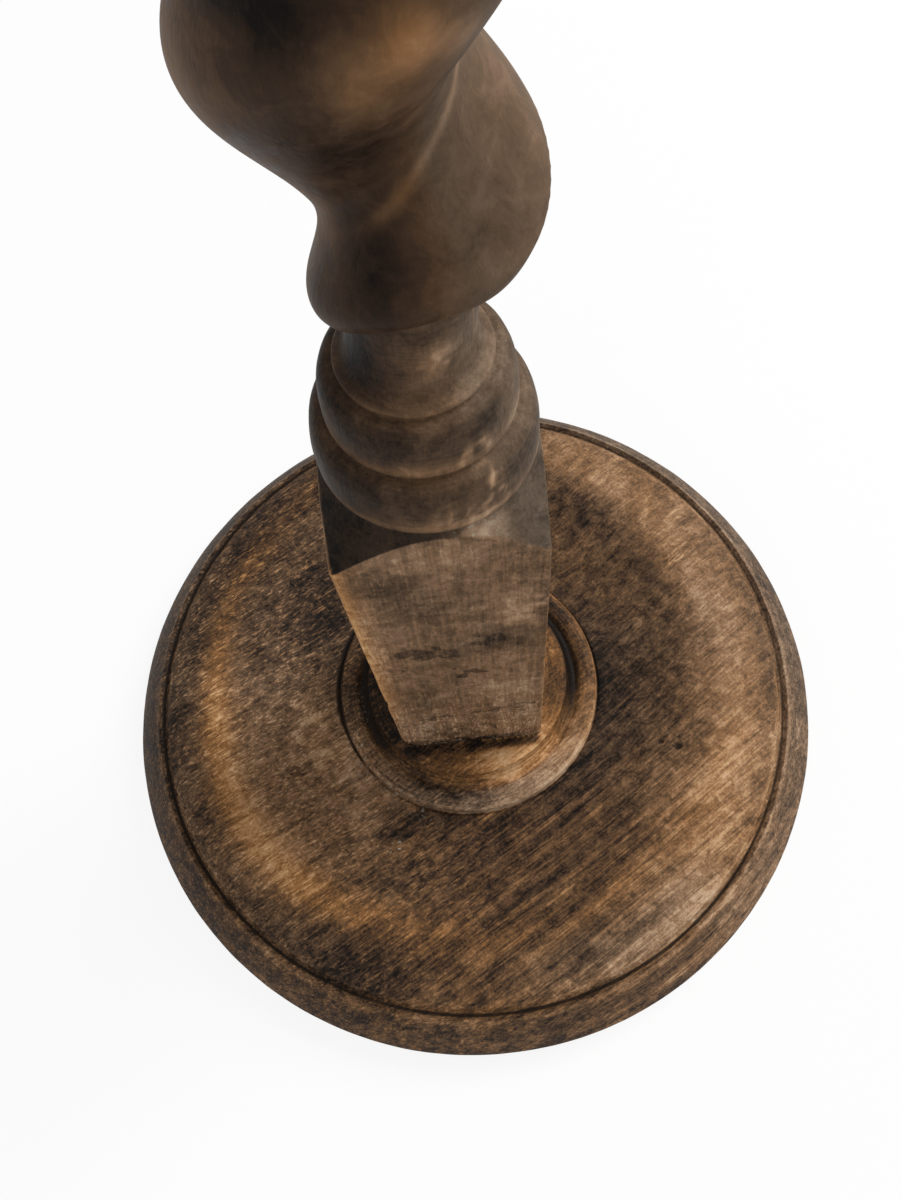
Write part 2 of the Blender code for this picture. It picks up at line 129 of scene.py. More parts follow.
CLEAT_HUB_HEIGHT = 0.008
CLEAT_COVE = 0.003
CLEAT_EDGE = 0.004
TOP_ROLL_WIDTH = 0.012
TOP_ROLL_HEIGHT = 0.013
TOP_UNDERCUT = 0.005
TOP_QUIRK_WIDTH = 0.0035
TOP_QUIRK_DEPTH = 0.0015
TOP_MIDDLE = 0.0012  # radius at which the section of the top stops
SCREW_COUNT = 4
SCREW_COVER = 0.007  # wood of the top left over each point
SCREW_HEAD_RADIUS = 0.0042
SCREW_HEAD_LAND = 0.0006
SCREW_HEAD_DOME = 0.0002
SCREW_SHANK_RADIUS = 0.0021
SCREW_CORE_RADIUS = 0.0016
SCREW_TIP_LENGTH = 0.005
SCREW_TIP_RADIUS = 0.0002
SCREW_WEAR = 0.00012
SCREW_TURN = 37.0  # between the slots of one screw and the next
SLOT_WIDTH = 0.0012
SLOT_DEPTH = 0.0011
CUT_OVERRUN = 0.002  # how far a cutter runs past the face that it opens

# Fineness of the meshes

BASE_STEPS = 480
TOP_STEPS = 400
CLEAT_STEPS = 240
SCREW_STEPS = 48
TENON_STEPS = 40
TENON_ROWS = 5
COLUMN_STEP_ANGLE = 1.5
CORNER_REACH = 2.4  # degrees to each side of a block's corner with closer points
CORNER_STEPS = 13
BLOCK_ROW = 0.0011
UNSEEN_BLOCK_ROW = 0.0020
SEEN_TWIST = 0.115  # length of the twist with closer rows
TWIST_ROW = 0.0008
UNSEEN_TWIST_ROW = 0.0022
EDGE_WEAR = 0.00028
WEAR_STEPS = 3  # in one length of wear
WEAR_REACH = 9  # steps that the wear takes in on each side
LONGEST_ROW = 0.0012
LONGEST_SCREW_ROW = 0.002
ROW_TURN = math.radians(9)
SHARP_ANGLE = math.radians(40)

# Sizes worked out from those above

RIM_TOP = RIM_HEIGHT + RIM_BEVEL_HEIGHT
CREST_RADIUS = BASE_RADIUS - CREST_INSET
RIM_INNER = BASE_RADIUS - RIM_BEVEL_WIDTH
DISH_EDGE = RIM_INNER - QUIRK_WIDTH
DISH_FLOOR = RIM_TOP + CREST_RISE - DISH_DEPTH
BLOCK_CORNER = BLOCK_HALF * math.sqrt(2)
MORTISE_RADIUS = TENON_RADIUS + FIT_GAP
SEAT_RADIUS = BLOCK_CORNER + SEAT_MARGIN
BOSS_COVE_FOOT = SEAT_RADIUS + BOSS_COVE_WIDTH
BOSS_EDGE = BOSS_COVE_FOOT + BOSS_BEAD_WIDTH

SHOULDER_SLOPE = (BLOCK_CORNER - BLOCK_HALF) / SHOULDER_RISE
LIP_RADIUS = BLOCK_HALF - SHOULDER_LIP * SHOULDER_SLOPE
LIP_LEVEL = SHOULDER_RISE + SHOULDER_LIP
BEAD_RADIUS = BLOCK_HALF - BEAD_INSET
BEAD_LEVEL = LIP_LEVEL + BEAD_RISE
MIDDLE_NOSE_FOOT = BEAD_LEVEL + LOWER_OVOLO[1]
MIDDLE_NOSE_LEVEL = MIDDLE_NOSE_FOOT + NOSE_HEIGHT / 2
UPPER_NOSE_FOOT = MIDDLE_NOSE_LEVEL + UPPER_OVOLO[1]
UPPER_NOSE_LEVEL = UPPER_NOSE_FOOT + NOSE_HEIGHT / 2

LOWER_BLOCK_END = SEAT_TOP + FIT_GAP
LOWER_SHOULDER = LOWER_BLOCK_END + LOWER_BLOCK_HEIGHT
TWIST_FOOT = LOWER_SHOULDER + NECK_TOP
UPPER_BLOCK_END = CLEAT_FOOT - GLUE_LINE
UPPER_SHOULDER = UPPER_BLOCK_END - UPPER_BLOCK_HEIGHT
TWIST_HEAD = UPPER_SHOULDER - NECK_TOP
TWIST_MIDDLE = (TWIST_FOOT + TWIST_HEAD) / 2

FLANGE_FOOT = CLEAT_FOOT + CLEAT_HUB_HEIGHT
SCREW_CIRCLE = (SEAT_RADIUS + CLEAT_COVE + CLEAT_RADIUS) / 2
SCREW_LENGTH = TOP_FACE - SCREW_COVER - FLANGE_FOOT
TOP_ROLL_INNER = TOP_RADIUS - TOP_ROLL_WIDTH
TOP_QUIRK = TOP_ROLL_INNER - TOP_QUIRK_WIDTH / 2


# Sections and meshes


def smooth_step(value, low, high):
    share = np.clip((value - low) / (high - low), 0.0, 1.0)
    return share * share * (3 - 2 * share)


def mixed(first, second, share):
    return first + (second - first) * share


def ellipse(centre, width, height, start, end, steps=24):
    """Points on an ellipse between two angles in degrees, where 0 is outwards and 90 is up."""
    angles = np.radians(np.linspace(start, end, steps + 1))
    return [(centre[0] + width * math.cos(a), centre[1] + height * math.sin(a)) for a in angles]


def crowned(start, end, crown, steps=16):
    """Points on a shallow bow between two points, swelling to the left of the way it runs."""
    run = np.subtract(end, start)
    side = np.array([-run[1], run[0]]) / np.hypot(*run)
    shares = np.linspace(0, 1, steps + 1)
    return [tuple(start + run * share + side * crown * math.sin(math.pi * share)) for share in shares]


def worn_profile(corners, wear=EDGE_WEAR, longest=LONGEST_ROW):
    """Points along a section with its corners worn round, close together where it bends."""
    corners = np.asarray(corners, float)
    along = np.concatenate(([0.0], np.cumsum(np.hypot(*np.diff(corners, axis=0).T))))
    step = wear / WEAR_STEPS
    fine = np.linspace(0.0, along[-1], int(along[-1] / step) + 1)
    points = np.stack([np.interp(fine, along, corners[:, axis]) for axis in (0, 1)], axis=1)
    kernel = np.exp(-0.5 * (np.arange(-WEAR_REACH, WEAR_REACH + 1) * step / wear) ** 2)
    kernel /= kernel.sum()
    padded = np.pad(points, ((WEAR_REACH, WEAR_REACH), (0, 0)), "reflect", reflect_type="odd")
    points = np.stack([np.convolve(padded[:, axis], kernel, "valid") for axis in (0, 1)], axis=1)
    heading = np.unwrap(np.arctan2(*np.diff(points, axis=0).T))
    kept = [0]
    turned = 0.0
    for index in range(1, len(points) - 1):
        turned += abs(heading[index] - heading[index - 1])
        if turned > ROW_TURN or (index - kept[-1]) * step > longest:
            kept.append(index)
            turned = 0.0
    kept.append(len(points) - 1)
    return points[kept]


def revolve(profile, steps):
    """Points of a turned surface as rows round the axis."""
    angles = np.linspace(0, 2 * np.pi, steps, endpoint=False)
    radius, height = profile[:, :1], profile[:, 1:]
    return np.stack([radius * np.cos(angles), radius * np.sin(angles), height + 0 * angles], axis=-1)


def unevenness(points, size, depth, seed=0.0):
    """How far each point lies below an even surface, from noise of that size."""
    flat = points.reshape(-1, 3) / size + seed
    values = np.array([noise.noise(place) for place in flat.tolist()])
    return depth * (0.5 + 0.5 * values).clip(0, 1).reshape(points.shape[:-1])


def sunk_in(points, depth, wrap_rows=False):
    """Rows of points moved into the surface by these depths."""
    around = np.roll(points, -1, axis=1) - np.roll(points, 1, axis=1)
    if wrap_rows:
        along = np.roll(points, -1, axis=0) - np.roll(points, 1, axis=0)
    else:
        along = np.gradient(points, axis=0)
    normal = np.cross(along, around)
    normal /= np.maximum(np.linalg.norm(normal, axis=-1, keepdims=True), 1e-12)
    return points - normal * depth[..., None]


def new_mesh(name, vertices, faces):
    mesh = bpy.data.meshes.new(name)
    mesh.from_pydata(vertices, [], faces)
    return mesh


def grid_mesh(name, points, wrap_rows=False):
    """Closed mesh of rows of points that run round the axis, from the top row down.

    Each face starts at its lower left, so that its diagonal follows the rope of the twist.
    """
    rows, steps = points.shape[:2]
    index = np.arange(rows * steps).reshape(rows, steps)
    following = np.roll(index, -1, axis=1)
    lower, lower_following = np.roll(index, -1, axis=0), np.roll(following, -1, axis=0)
    quads = np.stack([lower, lower_following, following, index], axis=-1)
    if not wrap_rows:
        quads = quads[:-1]
    faces = quads.reshape(-1, 4).tolist()
    vertices = points.reshape(-1, 3).tolist()
    if not wrap_rows:
        for row, order in ((0, 1), (rows - 1, -1)):
            vertices.append(points[row].mean(axis=0).tolist())
            ends = zip(index[row].tolist(), following[row].tolist())
            faces += [(len(vertices) - 1, *pair[::order]) for pair in ends]
    mesh = new_mesh(name, vertices, faces)
    mesh.shade_smooth()
    return mesh


def mesh_points(mesh):
    points = np.empty(len(mesh.vertices) * 3)
    mesh.vertices.foreach_get("co", points)
    return points.reshape(-1, 3)


def join_meshes(name, meshes):
    vertices, faces = [], []
    for mesh in meshes:
        start = len(vertices)
        vertices += mesh_points(mesh).tolist()
        faces += [[start + index for index in face.vertices] for face in mesh.polygons]
        bpy.data.meshes.remove(mesh)
    joined = new_mesh(name, vertices, faces)
    joined.shade_smooth()
    return joined


def add_object(name, data):
    added = bpy.data.objects.new(name, data)
    bpy.context.scene.collection.objects.link(added)
    return added


def add_piece(name, mesh, material, node):
    """Places a piece that stands for a node of the frame."""
    piece = add_object(name, mesh)
    mesh.materials.clear()
    mesh.materials.append(material)
    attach(piece, BODY)
    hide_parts(node)


def cut_mesh(mesh, cutters):
    """The mesh with these cutter meshes taken out of it."""
    blank = add_object(mesh.name, mesh)
    helpers = [blank]
    for cutter_mesh in cutters:
        cutter = add_object(cutter_mesh.name, cutter_mesh)
        helpers.append(cutter)
        boolean = blank.modifiers.new(cutter.name, "BOOLEAN")
        boolean.operation = "DIFFERENCE"
        boolean.object = cutter
    graph = bpy.context.evaluated_depsgraph_get()
    result = bpy.data.meshes.new_from_object(blank.evaluated_get(graph))
    for helper in helpers:
        bpy.data.objects.remove(helper, do_unlink=True)
    return result


# Fields painted on the meshes

MILLIMETRE = 0.001
PERCENT = 0.01
BRIGHTEST = 1.4  # the highest value of a field
WANDER_SEEDS = (21.0, 43.0, 65.0)


def paint(mesh, **fields):
    """Stores the fields that the wood material reads at each point."""
    for field, values in fields.items():
        attribute = mesh.attributes.new(field, "FLOAT", "POINT")
        attribute.data.foreach_set("value", np.clip(values, 0.0, BRIGHTEST).astype(np.float32))


def around_axis(points):
    """Radius and angle in degrees of each point round the column's axis."""
    return np.hypot(points[:, 0], points[:, 1]), np.degrees(np.arctan2(points[:, 1], points[:, 0])) % 360


def by_angle(angle, stops, unit=PERCENT):
    """Values given at some angles in degrees, carried evenly from one to the next round the circle."""
    return unit * np.interp(angle, list(stops), list(stops.values()), period=360)


def ridge(value, centre, width):
    """1 at the centre, falling to 0 on both sides."""
    return np.exp(-(((value - centre) / width) ** 2))


def spots(across, along, marks):
    """Sum of soft oval marks, each with its full strength in its middle and 0 well outside it.

    A mark is its place across and along, half length, half width, tilt and strength, in millimetres,
    degrees and per cent.
    """
    total = np.zeros_like(across)
    for *lengths, tilt, strength in marks:
        x, y, half_length, half_width = [length * MILLIMETRE for length in lengths]
        turn = math.radians(tilt)
        right, up = across - x, along - y
        long = (right * math.cos(turn) + up * math.sin(turn)) / half_length
        wide = (up * math.cos(turn) - right * math.sin(turn)) / half_width
        total += strength * PERCENT * np.exp(-(long**2 + wide**2))
    return total


def round_spots(angle, height, marks):
    """Sum of soft marks on turned work, by the angle and a height or radius.

    A mark is an angle, height, half turn, half height and strength, in degrees, millimetres and per cent.
    """
    total = np.zeros_like(angle)
    for place, level, half_turn, half_height, strength in marks:
        turn = (angle - place + 180) % 360 - 180
        across = ridge(turn, 0.0, half_turn)
        total += strength * PERCENT * across * ridge(height, level * MILLIMETRE, half_height * MILLIMETRE)
    return total


def wandered(points, size, reach):
    """The points moved about sideways by noise, so that marks painted at them get ragged edges."""
    shifts = [unevenness(points, size, 2 * reach, seed) - reach for seed in WANDER_SEEDS]
    return points + np.stack(shifts, axis=-1)


# Materials


def tint(red, green, blue):
    """Linear colour of an 8-bit sRGB one."""
    values = [value / 255 for value in (red, green, blue)]
    linear = [v / 12.92 if v <= 0.04045 else ((v + 0.055) / 1.055) ** 2.4 for v in values]
    return (*linear, 1.0)


# Colours of clean stain and of hazy stain, whose grey also stands for painted sheen, from dark to light,
# each with its tone; the tones carry painted light and shade as well as dirt and wear
WARM_TONES = (
    (0.0, tint(18, 14, 11)),
    (0.25, tint(64, 46, 33)),
    (0.5, tint(103, 74, 47)),
    (0.75, tint(146, 102, 61)),
    (1.0, tint(190, 143, 95)),
    (1.4, tint(228, 187, 138)),
)
GREY_TONES = (
    (0.0, tint(20, 18, 16)),
    (0.25, tint(63, 55, 47)),
    (0.5, tint(102, 89, 76)),
    (0.75, tint(141, 125, 109)),
    (1.0, tint(176, 160, 142)),
    (1.4, tint(214, 202, 186)),
)
DIRT_AND_SHADE_COLOUR = tint(20, 15, 11)
CHALK = tint(178, 168, 150)
STEEL_TONES = ((0.25, tint(92, 74, 58)), (0.5, tint(150, 143, 133)), (0.8, tint(186, 182, 174)))
BARE_TONES = ((0.1, tint(92, 66, 42)), (0.5, tint(158, 124, 86)), (0.9, tint(190, 160, 122)))
WHITE = (1.0, 1.0, 1.0, 1.0)


class Shading:
    """Short ways to add and join the nodes of one material or world."""

    def __init__(self, owner):
        owner.use_nodes = True
        self.owner = owner
        self.nodes = owner.node_tree.nodes

    def put(self, socket, value):
        if isinstance(value, bpy.types.NodeSocket):
            self.owner.node_tree.links.new(value, socket)
        else:
            socket.default_value = value

    def fill(self, node, inputs):
        for name, value in inputs.items():
            self.put(node.inputs[name], value)

    def add(self, kind, *values, **settings):
        """A node with these settings, whose first inputs get the values."""
        node = self.nodes.new(kind)
        for name, value in settings.items():
            setattr(node, name, value)
        for socket, value in zip(node.inputs, values):
            self.put(socket, value)
        return node

    def math(self, operation, *values, clamp=False):
        return self.add("ShaderNodeMath", *values, operation=operation, use_clamp=clamp).outputs[0]

    def vector(self, operation, *values):
        outputs = self.add("ShaderNodeVectorMath", *values, operation=operation).outputs
        return outputs["Value" if operation == "LENGTH" else "Vector"]

    def axes(self, vector):
        return self.add("ShaderNodeSeparateXYZ", vector).outputs

    def joined(self, *axes):
        return self.add("ShaderNodeCombineXYZ", *axes).outputs[0]

    def times(self, first, *others):
        for other in others:
            first = self.math("MULTIPLY", first, other)
        return first

    def total(self, first, *terms):
        """Sum of a value and of (value, weight) terms whose values swing about one half."""
        for value, weight in terms:
            first = self.math("ADD", first, self.times(self.math("SUBTRACT", value, 0.5), weight))
        return first

    def place(self):
        return self.add("ShaderNodeTexCoord").outputs["Object"]

    def noise(self, vector, length, width=None, detail=2.0, roughness=0.5, distortion=0.0):
        """Noise whose features have this length on the first axis and this width on the others."""
        width = width or length
        node = self.add("ShaderNodeTexNoise")
        scaled = self.vector("MULTIPLY", vector, (1 / length, 1 / width, 1 / width))
        self.fill(node, {"Vector": scaled, "Scale": 1.0, "Detail": detail})
        self.fill(node, {"Roughness": roughness, "Distortion": distortion})
        return node.outputs[0]

    def field(self, name):
        return self.add("ShaderNodeAttribute", attribute_name=name).outputs["Fac"]

    def span(self, value, low, high):
        node = self.add("ShaderNodeMapRange", value, low, high, interpolation_type="SMOOTHSTEP")
        return node.outputs[0]

    def ramp(self, value, stops):
        node = self.add("ShaderNodeValToRGB", value)
        elements = node.color_ramp.elements
        while len(elements) < len(stops):
            elements.new(0.5)
        for element, (position, colour) in zip(elements, stops):
            element.position = position
            element.color = colour
        return node.outputs["Color"]

    def blend(self, share, first, second):
        """Mix of two colours, at the colour sockets of a node that has some for each kind of value."""
        node = self.add("ShaderNodeMix", share, data_type="RGBA")
        self.put(node.inputs[6], first)
        self.put(node.inputs[7], second)
        return node.outputs[2]

    def bump(self, height, strength, distance):
        node = self.add("ShaderNodeBump")
        self.fill(node, {"Height": height, "Strength": strength, "Distance": distance})
        return node.outputs["Normal"]

    def dressed(self, **inputs):
        """The material, with these inputs of its surface set, where an underscore stands for a space."""
        named = {name.replace("_", " "): value for name, value in inputs.items()}
        self.fill(self.nodes["Principled BSDF"], named)
        return self.owner

    def bent_grain(self, centre):
        """Position along, across and through boards whose grain runs in wide arcs round a centre."""
        x, y, z = self.axes(self.vector("SUBTRACT", self.place(), (*centre, 0.0)))
        along = self.times(self.math("ARCTAN2", y, x), math.hypot(*centre))
        return self.joined(along, self.vector("LENGTH", self.joined(x, y)), z)

    def upright_grain(self):
        """Position along, across and through wood whose grain runs up the column."""
        x, y, z = self.axes(self.place())
        return self.joined(z, x, y)

    def lathe_lines(self, turn, spacing):
        """Fine lines that run round the axis, as a turning tool leaves them."""
        x, y, z = self.axes(self.place())
        radius = self.vector("LENGTH", self.joined(x, y))
        angle = self.math("ARCTAN2", y, self.math("ABSOLUTE", x))
        return self.noise(self.joined(angle, radius, z), turn, spacing, roughness=0.6)


def stained_beech(name, grain_centre=None, roughness=0.6, sheen=0.07):
    """Dark stained beech whose painted fields set its wear, haze, dirt, marks, painted light and shade,
    and crispness.
    """
    wood = Shading(bpy.data.materials.new(name))
    place = wood.place()
    grain = wood.bent_grain(grain_centre) if grain_centre else wood.upright_grain()
    crisp, streak = wood.field("crisp"), wood.field("streak")
    turned, flecked = wood.field("turned"), wood.field("fleck")
    band = wood.noise(grain, 0.15, 0.0065, detail=3.0, roughness=0.6)
    flame = wood.span(wood.noise(grain, 0.055, 0.0032, detail=3.0, roughness=0.6), 0.40, 0.60)
    line = wood.noise(grain, 0.042, 0.0012, detail=3.0, roughness=0.65)
    hair = wood.span(wood.noise(grain, 0.030, 0.0009, detail=1.0), 0.60, 0.70)
    fibre = wood.noise(grain, 0.0085, 0.00065, roughness=0.6)
    fleck = wood.noise(grain, 0.0036, 0.0008, detail=1.0, distortion=0.5)
    grit = wood.noise(place, 0.0011, detail=3.0, roughness=0.75)
    speck = wood.noise(place, 0.0013, detail=1.0)
    cloud = wood.noise(place, 0.030, detail=5.0, roughness=0.62)
    mottle = wood.noise(place, 0.0055, detail=4.0, roughness=0.65, distortion=0.6)
    lathe = wood.lathe_lines(0.45, 0.0009)

    rough_edge = ((fibre, 0.45), (grit, wood.times(crisp, 0.40)))
    stain = wood.total(wood.field("stain"), (mottle, 1.10), *rough_edge)
    bare = wood.total(wood.field("bare"), (mottle, -1.10), *rough_edge)
    tone = wood.total(
        wood.field("tone"),
        (band, wood.times(streak, 0.75)),
        (flame, wood.times(streak, 0.34)),
        (line, wood.math("ADD", wood.times(streak, 0.85), wood.times(crisp, 0.24))),
        (cloud, 0.48),
        (mottle, wood.math("MULTIPLY_ADD", crisp, 0.62, 0.34)),
        (fibre, wood.times(crisp, 0.46)),
        (grit, wood.times(crisp, 0.85)),
        (lathe, wood.times(turned, 0.9)),
    )
    for layer, change in (
        (wood.times(wood.span(fleck, 0.58, 0.67), flecked, crisp), 0.40),
        (wood.times(hair, streak, crisp), 0.26),
        (wood.times(wood.span(fleck, 0.40, 0.30), flecked, crisp), -0.18),
        (wood.span(stain, 0.30, 0.40), -0.28),
        (wood.span(bare, 0.30, 0.42), 0.18),
    ):
        tone = wood.math("MULTIPLY_ADD", layer, change, tone)
    tone = wood.math("DIVIDE", tone, BRIGHTEST, clamp=True)

    # Haze greys the stain; where it is strongest on the right of the column it is a painted sheen
    haze = wood.total(wood.field("haze"), (cloud, 0.5), (mottle, 0.4))
    haze = wood.math("MAXIMUM", haze, 0.0, clamp=True)
    warm, grey = [
        wood.ramp(tone, [(position / BRIGHTEST, colour) for position, colour in tones])
        for tones in (WARM_TONES, GREY_TONES)
    ]
    colour = wood.blend(haze, warm, grey)
    # Dirt, together with painted shade and painted shadow in hollows and at feet, blends towards a
    # near-black colour
    grime = wood.total(wood.field("grime"), (mottle, 0.7), (cloud, 0.4))
    colour = wood.blend(wood.times(wood.span(grime, 0.25, 0.70), 0.92), colour, DIRT_AND_SHADE_COLOUR)
    chalk = wood.times(wood.span(speck, 0.60, 0.66), wood.field("chalk"))

    line_height = wood.math("MULTIPLY_ADD", crisp, 0.8, 0.1)
    height = wood.total(0.5, (line, line_height), (fibre, wood.times(crisp, 0.7)), (mottle, 0.5))
    height = wood.math("ADD", height, wood.times(wood.span(fleck, 0.55, 0.70), crisp, 0.45))
    height = wood.math("ADD", height, wood.times(lathe, turned))
    return wood.dressed(
        Base_Color=wood.blend(chalk, colour, CHALK),
        Roughness=wood.total(roughness, (mottle, 0.25), (line, 0.2), (haze, 0.2)),
        Specular_IOR_Level=sheen,
        Normal=wood.bump(height, 0.55, 0.0005),
    )


def tarnished_steel(name):
    steel = Shading(bpy.data.materials.new(name))
    stain = steel.noise(steel.place(), 0.0025, detail=4.0, roughness=0.65)
    scratch = steel.noise(steel.place(), 0.0001, 0.003)
    return steel.dressed(
        Base_Color=steel.ramp(steel.total(0.5, (stain, 1.6), (scratch, 0.4)), STEEL_TONES),
        Roughness=steel.total(0.42, (stain, 0.5), (scratch, 0.3)),
        Metallic=1.0,
        Normal=steel.bump(scratch, 0.3, 0.00008),
    )


def bare_beech(name):
    """Pale sawn wood of the wedges, with a fine grain and old glue stain."""
    wood = Shading(bpy.data.materials.new(name))
    line = wood.noise(wood.upright_grain(), 0.02, 0.0009, detail=3.0, roughness=0.6)
    stain = wood.noise(wood.place(), 0.007, detail=4.0, roughness=0.6)
    return wood.dressed(
        Base_Color=wood.ramp(wood.total(0.5, (line, 1.1), (stain, 1.2)), BARE_TONES),
        Roughness=wood.total(0.7, (stain, 0.3)),
        Specular_IOR_Level=0.25,
        Normal=wood.bump(line, 0.4, 0.0003),
    )


# Base

BASE_GRAIN_CENTRE = (-1.06, 1.70)
RAGGED_BASE = (0.005, 0.010)  # size of the noise at the edges of its marks, and how far it reaches
ROUGH_BOSS = (0.003, 0.003)
BASE_UNEVENNESS = ((0.022, 0.00035, 0.0), (0.006, 0.00015, 7.3))  # each a size, depth and seed
UNEVEN_FROM = (0.002, 0.008)  # levels between which the unevenness fades in
DISH_START = 0.015  # share of the dish taken by the line round the boss
DISH_STEPS = 40

# Radii or levels between which a zone of the base fades in or out
COVE_START = (SEAT_RADIUS - 0.001, SEAT_RADIUS + 0.001)
BEAD_START = (BOSS_COVE_FOOT - 0.0015, BOSS_COVE_FOOT + 0.001)
BEAD_HAZE_START = (BOSS_COVE_FOOT - 0.001, BOSS_COVE_FOOT + 0.002)
BOSS_END = (BOSS_EDGE - 0.0003, BOSS_EDGE + 0.0006)
SLOPE_EDGE_START = (DISH_EDGE - 0.010, DISH_EDGE - 0.003)
UNDERSIDE_END = (0.001, 0.012)
FOOT_SHADE_END = (BLOCK_HALF + 0.0024, BLOCK_HALF + 0.0046)  # in front of the block
FOOT_SHADE_SIDE = (BLOCK_HALF - 0.003, BLOCK_HALF + 0.001)
DEEP_SHADE_START = (-0.003, 0.004)
FOOT_SHADE = (0.26, 0.70)  # on its left and right

# Painted highlights along edges, each a radius and half width
BEAD_HIGHLIGHT = (BOSS_EDGE - 0.0006, 0.0007)
DISH_HIGHLIGHT = (DISH_EDGE - 0.0006, 0.0006)
RIM_HIGHLIGHT = (RIM_INNER + 0.0008, 0.0009)
DISH_HIGHLIGHT_TONE = 0.12
RIM_HIGHLIGHT_TONE = 0.22

# Tones of the zones of the base in per cent, by the angle in degrees. Apart from the worn ring, they hold
# painted light and shade with the wood's own uneven tone: each zone is lighter where it faces the light
# from the right and darker where it faces away, the seat, cove and bead lie in painted shade on the left
# and are lit at the front right, and the bead's edge is a painted highlight on the right.
DISH_BY_BOSS = {
    0: 5, 15: 9, 30: 24, 45: 46, 60: 44, 120: 26, 150: 16, 165: 27, 180: 46, 195: 70, 210: 72, 225: 58,
    240: 57, 255: 25, 270: 21, 285: 30, 300: 13, 315: 7, 330: 10, 345: 7,
}
DISH_BY_RING = {
    0: 50, 15: 50, 30: 50, 45: 37, 60: 36, 120: 22, 150: 26, 165: 38, 180: 54, 195: 60, 210: 64, 225: 52,
    240: 37, 255: 34, 285: 33, 300: 46, 315: 52, 330: 56, 345: 52,
}
SLOPE = {
    0: 62, 45: 58, 90: 40, 135: 14, 150: 17, 165: 18, 180: 22, 195: 32, 210: 47, 225: 39, 240: 18,
    255: 36, 270: 36, 285: 40, 300: 75, 315: 83, 330: 82, 345: 76,
}
SLOPE_EDGE = {
    0: -18, 20: -6, 45: 6, 100: 5, 150: 12, 165: 10, 190: 0, 225: -8, 250: 0, 285: 17, 300: 2, 315: 0,
    330: -14, 345: -8,
}
RIM = {0: 48, 60: 40, 120: 26, 190: 19, 235: 31, 280: 36, 320: 58}
WORN_RING = {
    0: 13, 30: 20, 50: 26, 110: 3, 150: 12, 175: 34, 205: 37, 228: 42, 245: 26, 262: 8, 285: 0, 315: 2,
    340: 10,
}
SEAT = {
    0: 46, 10: 62, 40: 40, 90: 30, 160: 5, 215: 5, 230: 26, 250: 54, 270: 60, 282: 96, 300: 100, 315: 94,
    330: 66, 342: 44,
}
COVE = {
    0: 22, 35: 22, 160: 12, 215: 18, 230: 34, 250: 48, 270: 66, 282: 84, 295: 90, 310: 90, 320: 72,
    330: 50, 340: 34, 350: 26,
}
BEAD = {
    0: 35, 40: 38, 150: 28, 190: 33, 200: 50, 215: 56, 230: 50, 245: 42, 270: 46, 282: 62, 300: 73,
    312: 80, 330: 66, 350: 48,
}
BEAD_EDGE_LIGHT = {0: 26, 40: 30, 90: 0, 180: -6, 240: 14, 260: 26, 300: 26}

# The worn ring's radius and half width in millimetres, by the angle
WORN_RING_RADIUS = {0: 102.5, 60: 107, 120: 112, 180: 104, 215: 104.5, 250: 99, 300: 103}
WORN_RING_WIDTH = {0: 9.5, 50: 10.5, 110: 8, 150: 6.5, 215: 8.6, 250: 7.6, 310: 9}

# Haze, streaks and flecks of the base, by the angle
DISH_HAZE = {0: 26, 60: 22, 110: 22, 150: 28, 180: 34, 215: 32, 245: 16, 280: 4, 330: 26}
RING_HAZE = {0: 34, 50: 26, 100: 10, 150: 0, 280: 0, 325: 12}
RIM_HAZE = {0: 55, 60: 60, 120: 40, 200: 20, 250: 14, 290: 22, 330: 45}
BEAD_HAZE = {0: 0, 180: 20, 230: 35, 265: 60, 285: 50, 305: 45, 330: 20}
BASE_STREAKS = {0: 32, 60: 18, 160: 26, 230: 42, 275: 62, 310: 62, 335: 44}
BASE_FLECKS = {0: 12, 60: 25, 120: 80, 150: 95, 200: 75, 250: 55, 290: 18, 345: 14}

# Dirt and painted shade in the hollows of the base, and the painted shadow of the boss's step, heavier on
# the left, by the angle
SEAT_DIRT_AND_SHADE = {0: 85, 36: 85, 60: 60, 160: 70, 210: 70, 225: 30, 240: 10, 262: 0, 322: 0, 340: 50}
QUIRK_DIRT_AND_SHADE = {0: 50, 60: 55, 130: 80, 180: 90, 215: 80, 240: 65, 265: 75, 290: 85, 325: 70}
BOSS_LINE_DIRT_AND_SHADOW = {0: 50, 90: 60, 150: 100, 190: 90, 220: 50, 245: 15, 300: 5, 325: 20}
BOSS_FOOT_SHADOW = {20: 30, 50: 0, 110: 0, 140: 70, 185: 70, 200: 20, 215: 0, 330: 0, 350: 30}
# Its places, each a radius and half width
BASE_DIRT_AND_SHADE = (
    (SEAT_RADIUS + 0.0026, 0.0034, SEAT_DIRT_AND_SHADE),
    (DISH_EDGE + QUIRK_WIDTH / 2, 0.0008, QUIRK_DIRT_AND_SHADE),
    (BOSS_EDGE, 0.0007, BOSS_LINE_DIRT_AND_SHADOW),
    (BOSS_EDGE + 0.0008, 0.0018, BOSS_FOOT_SHADOW),
)

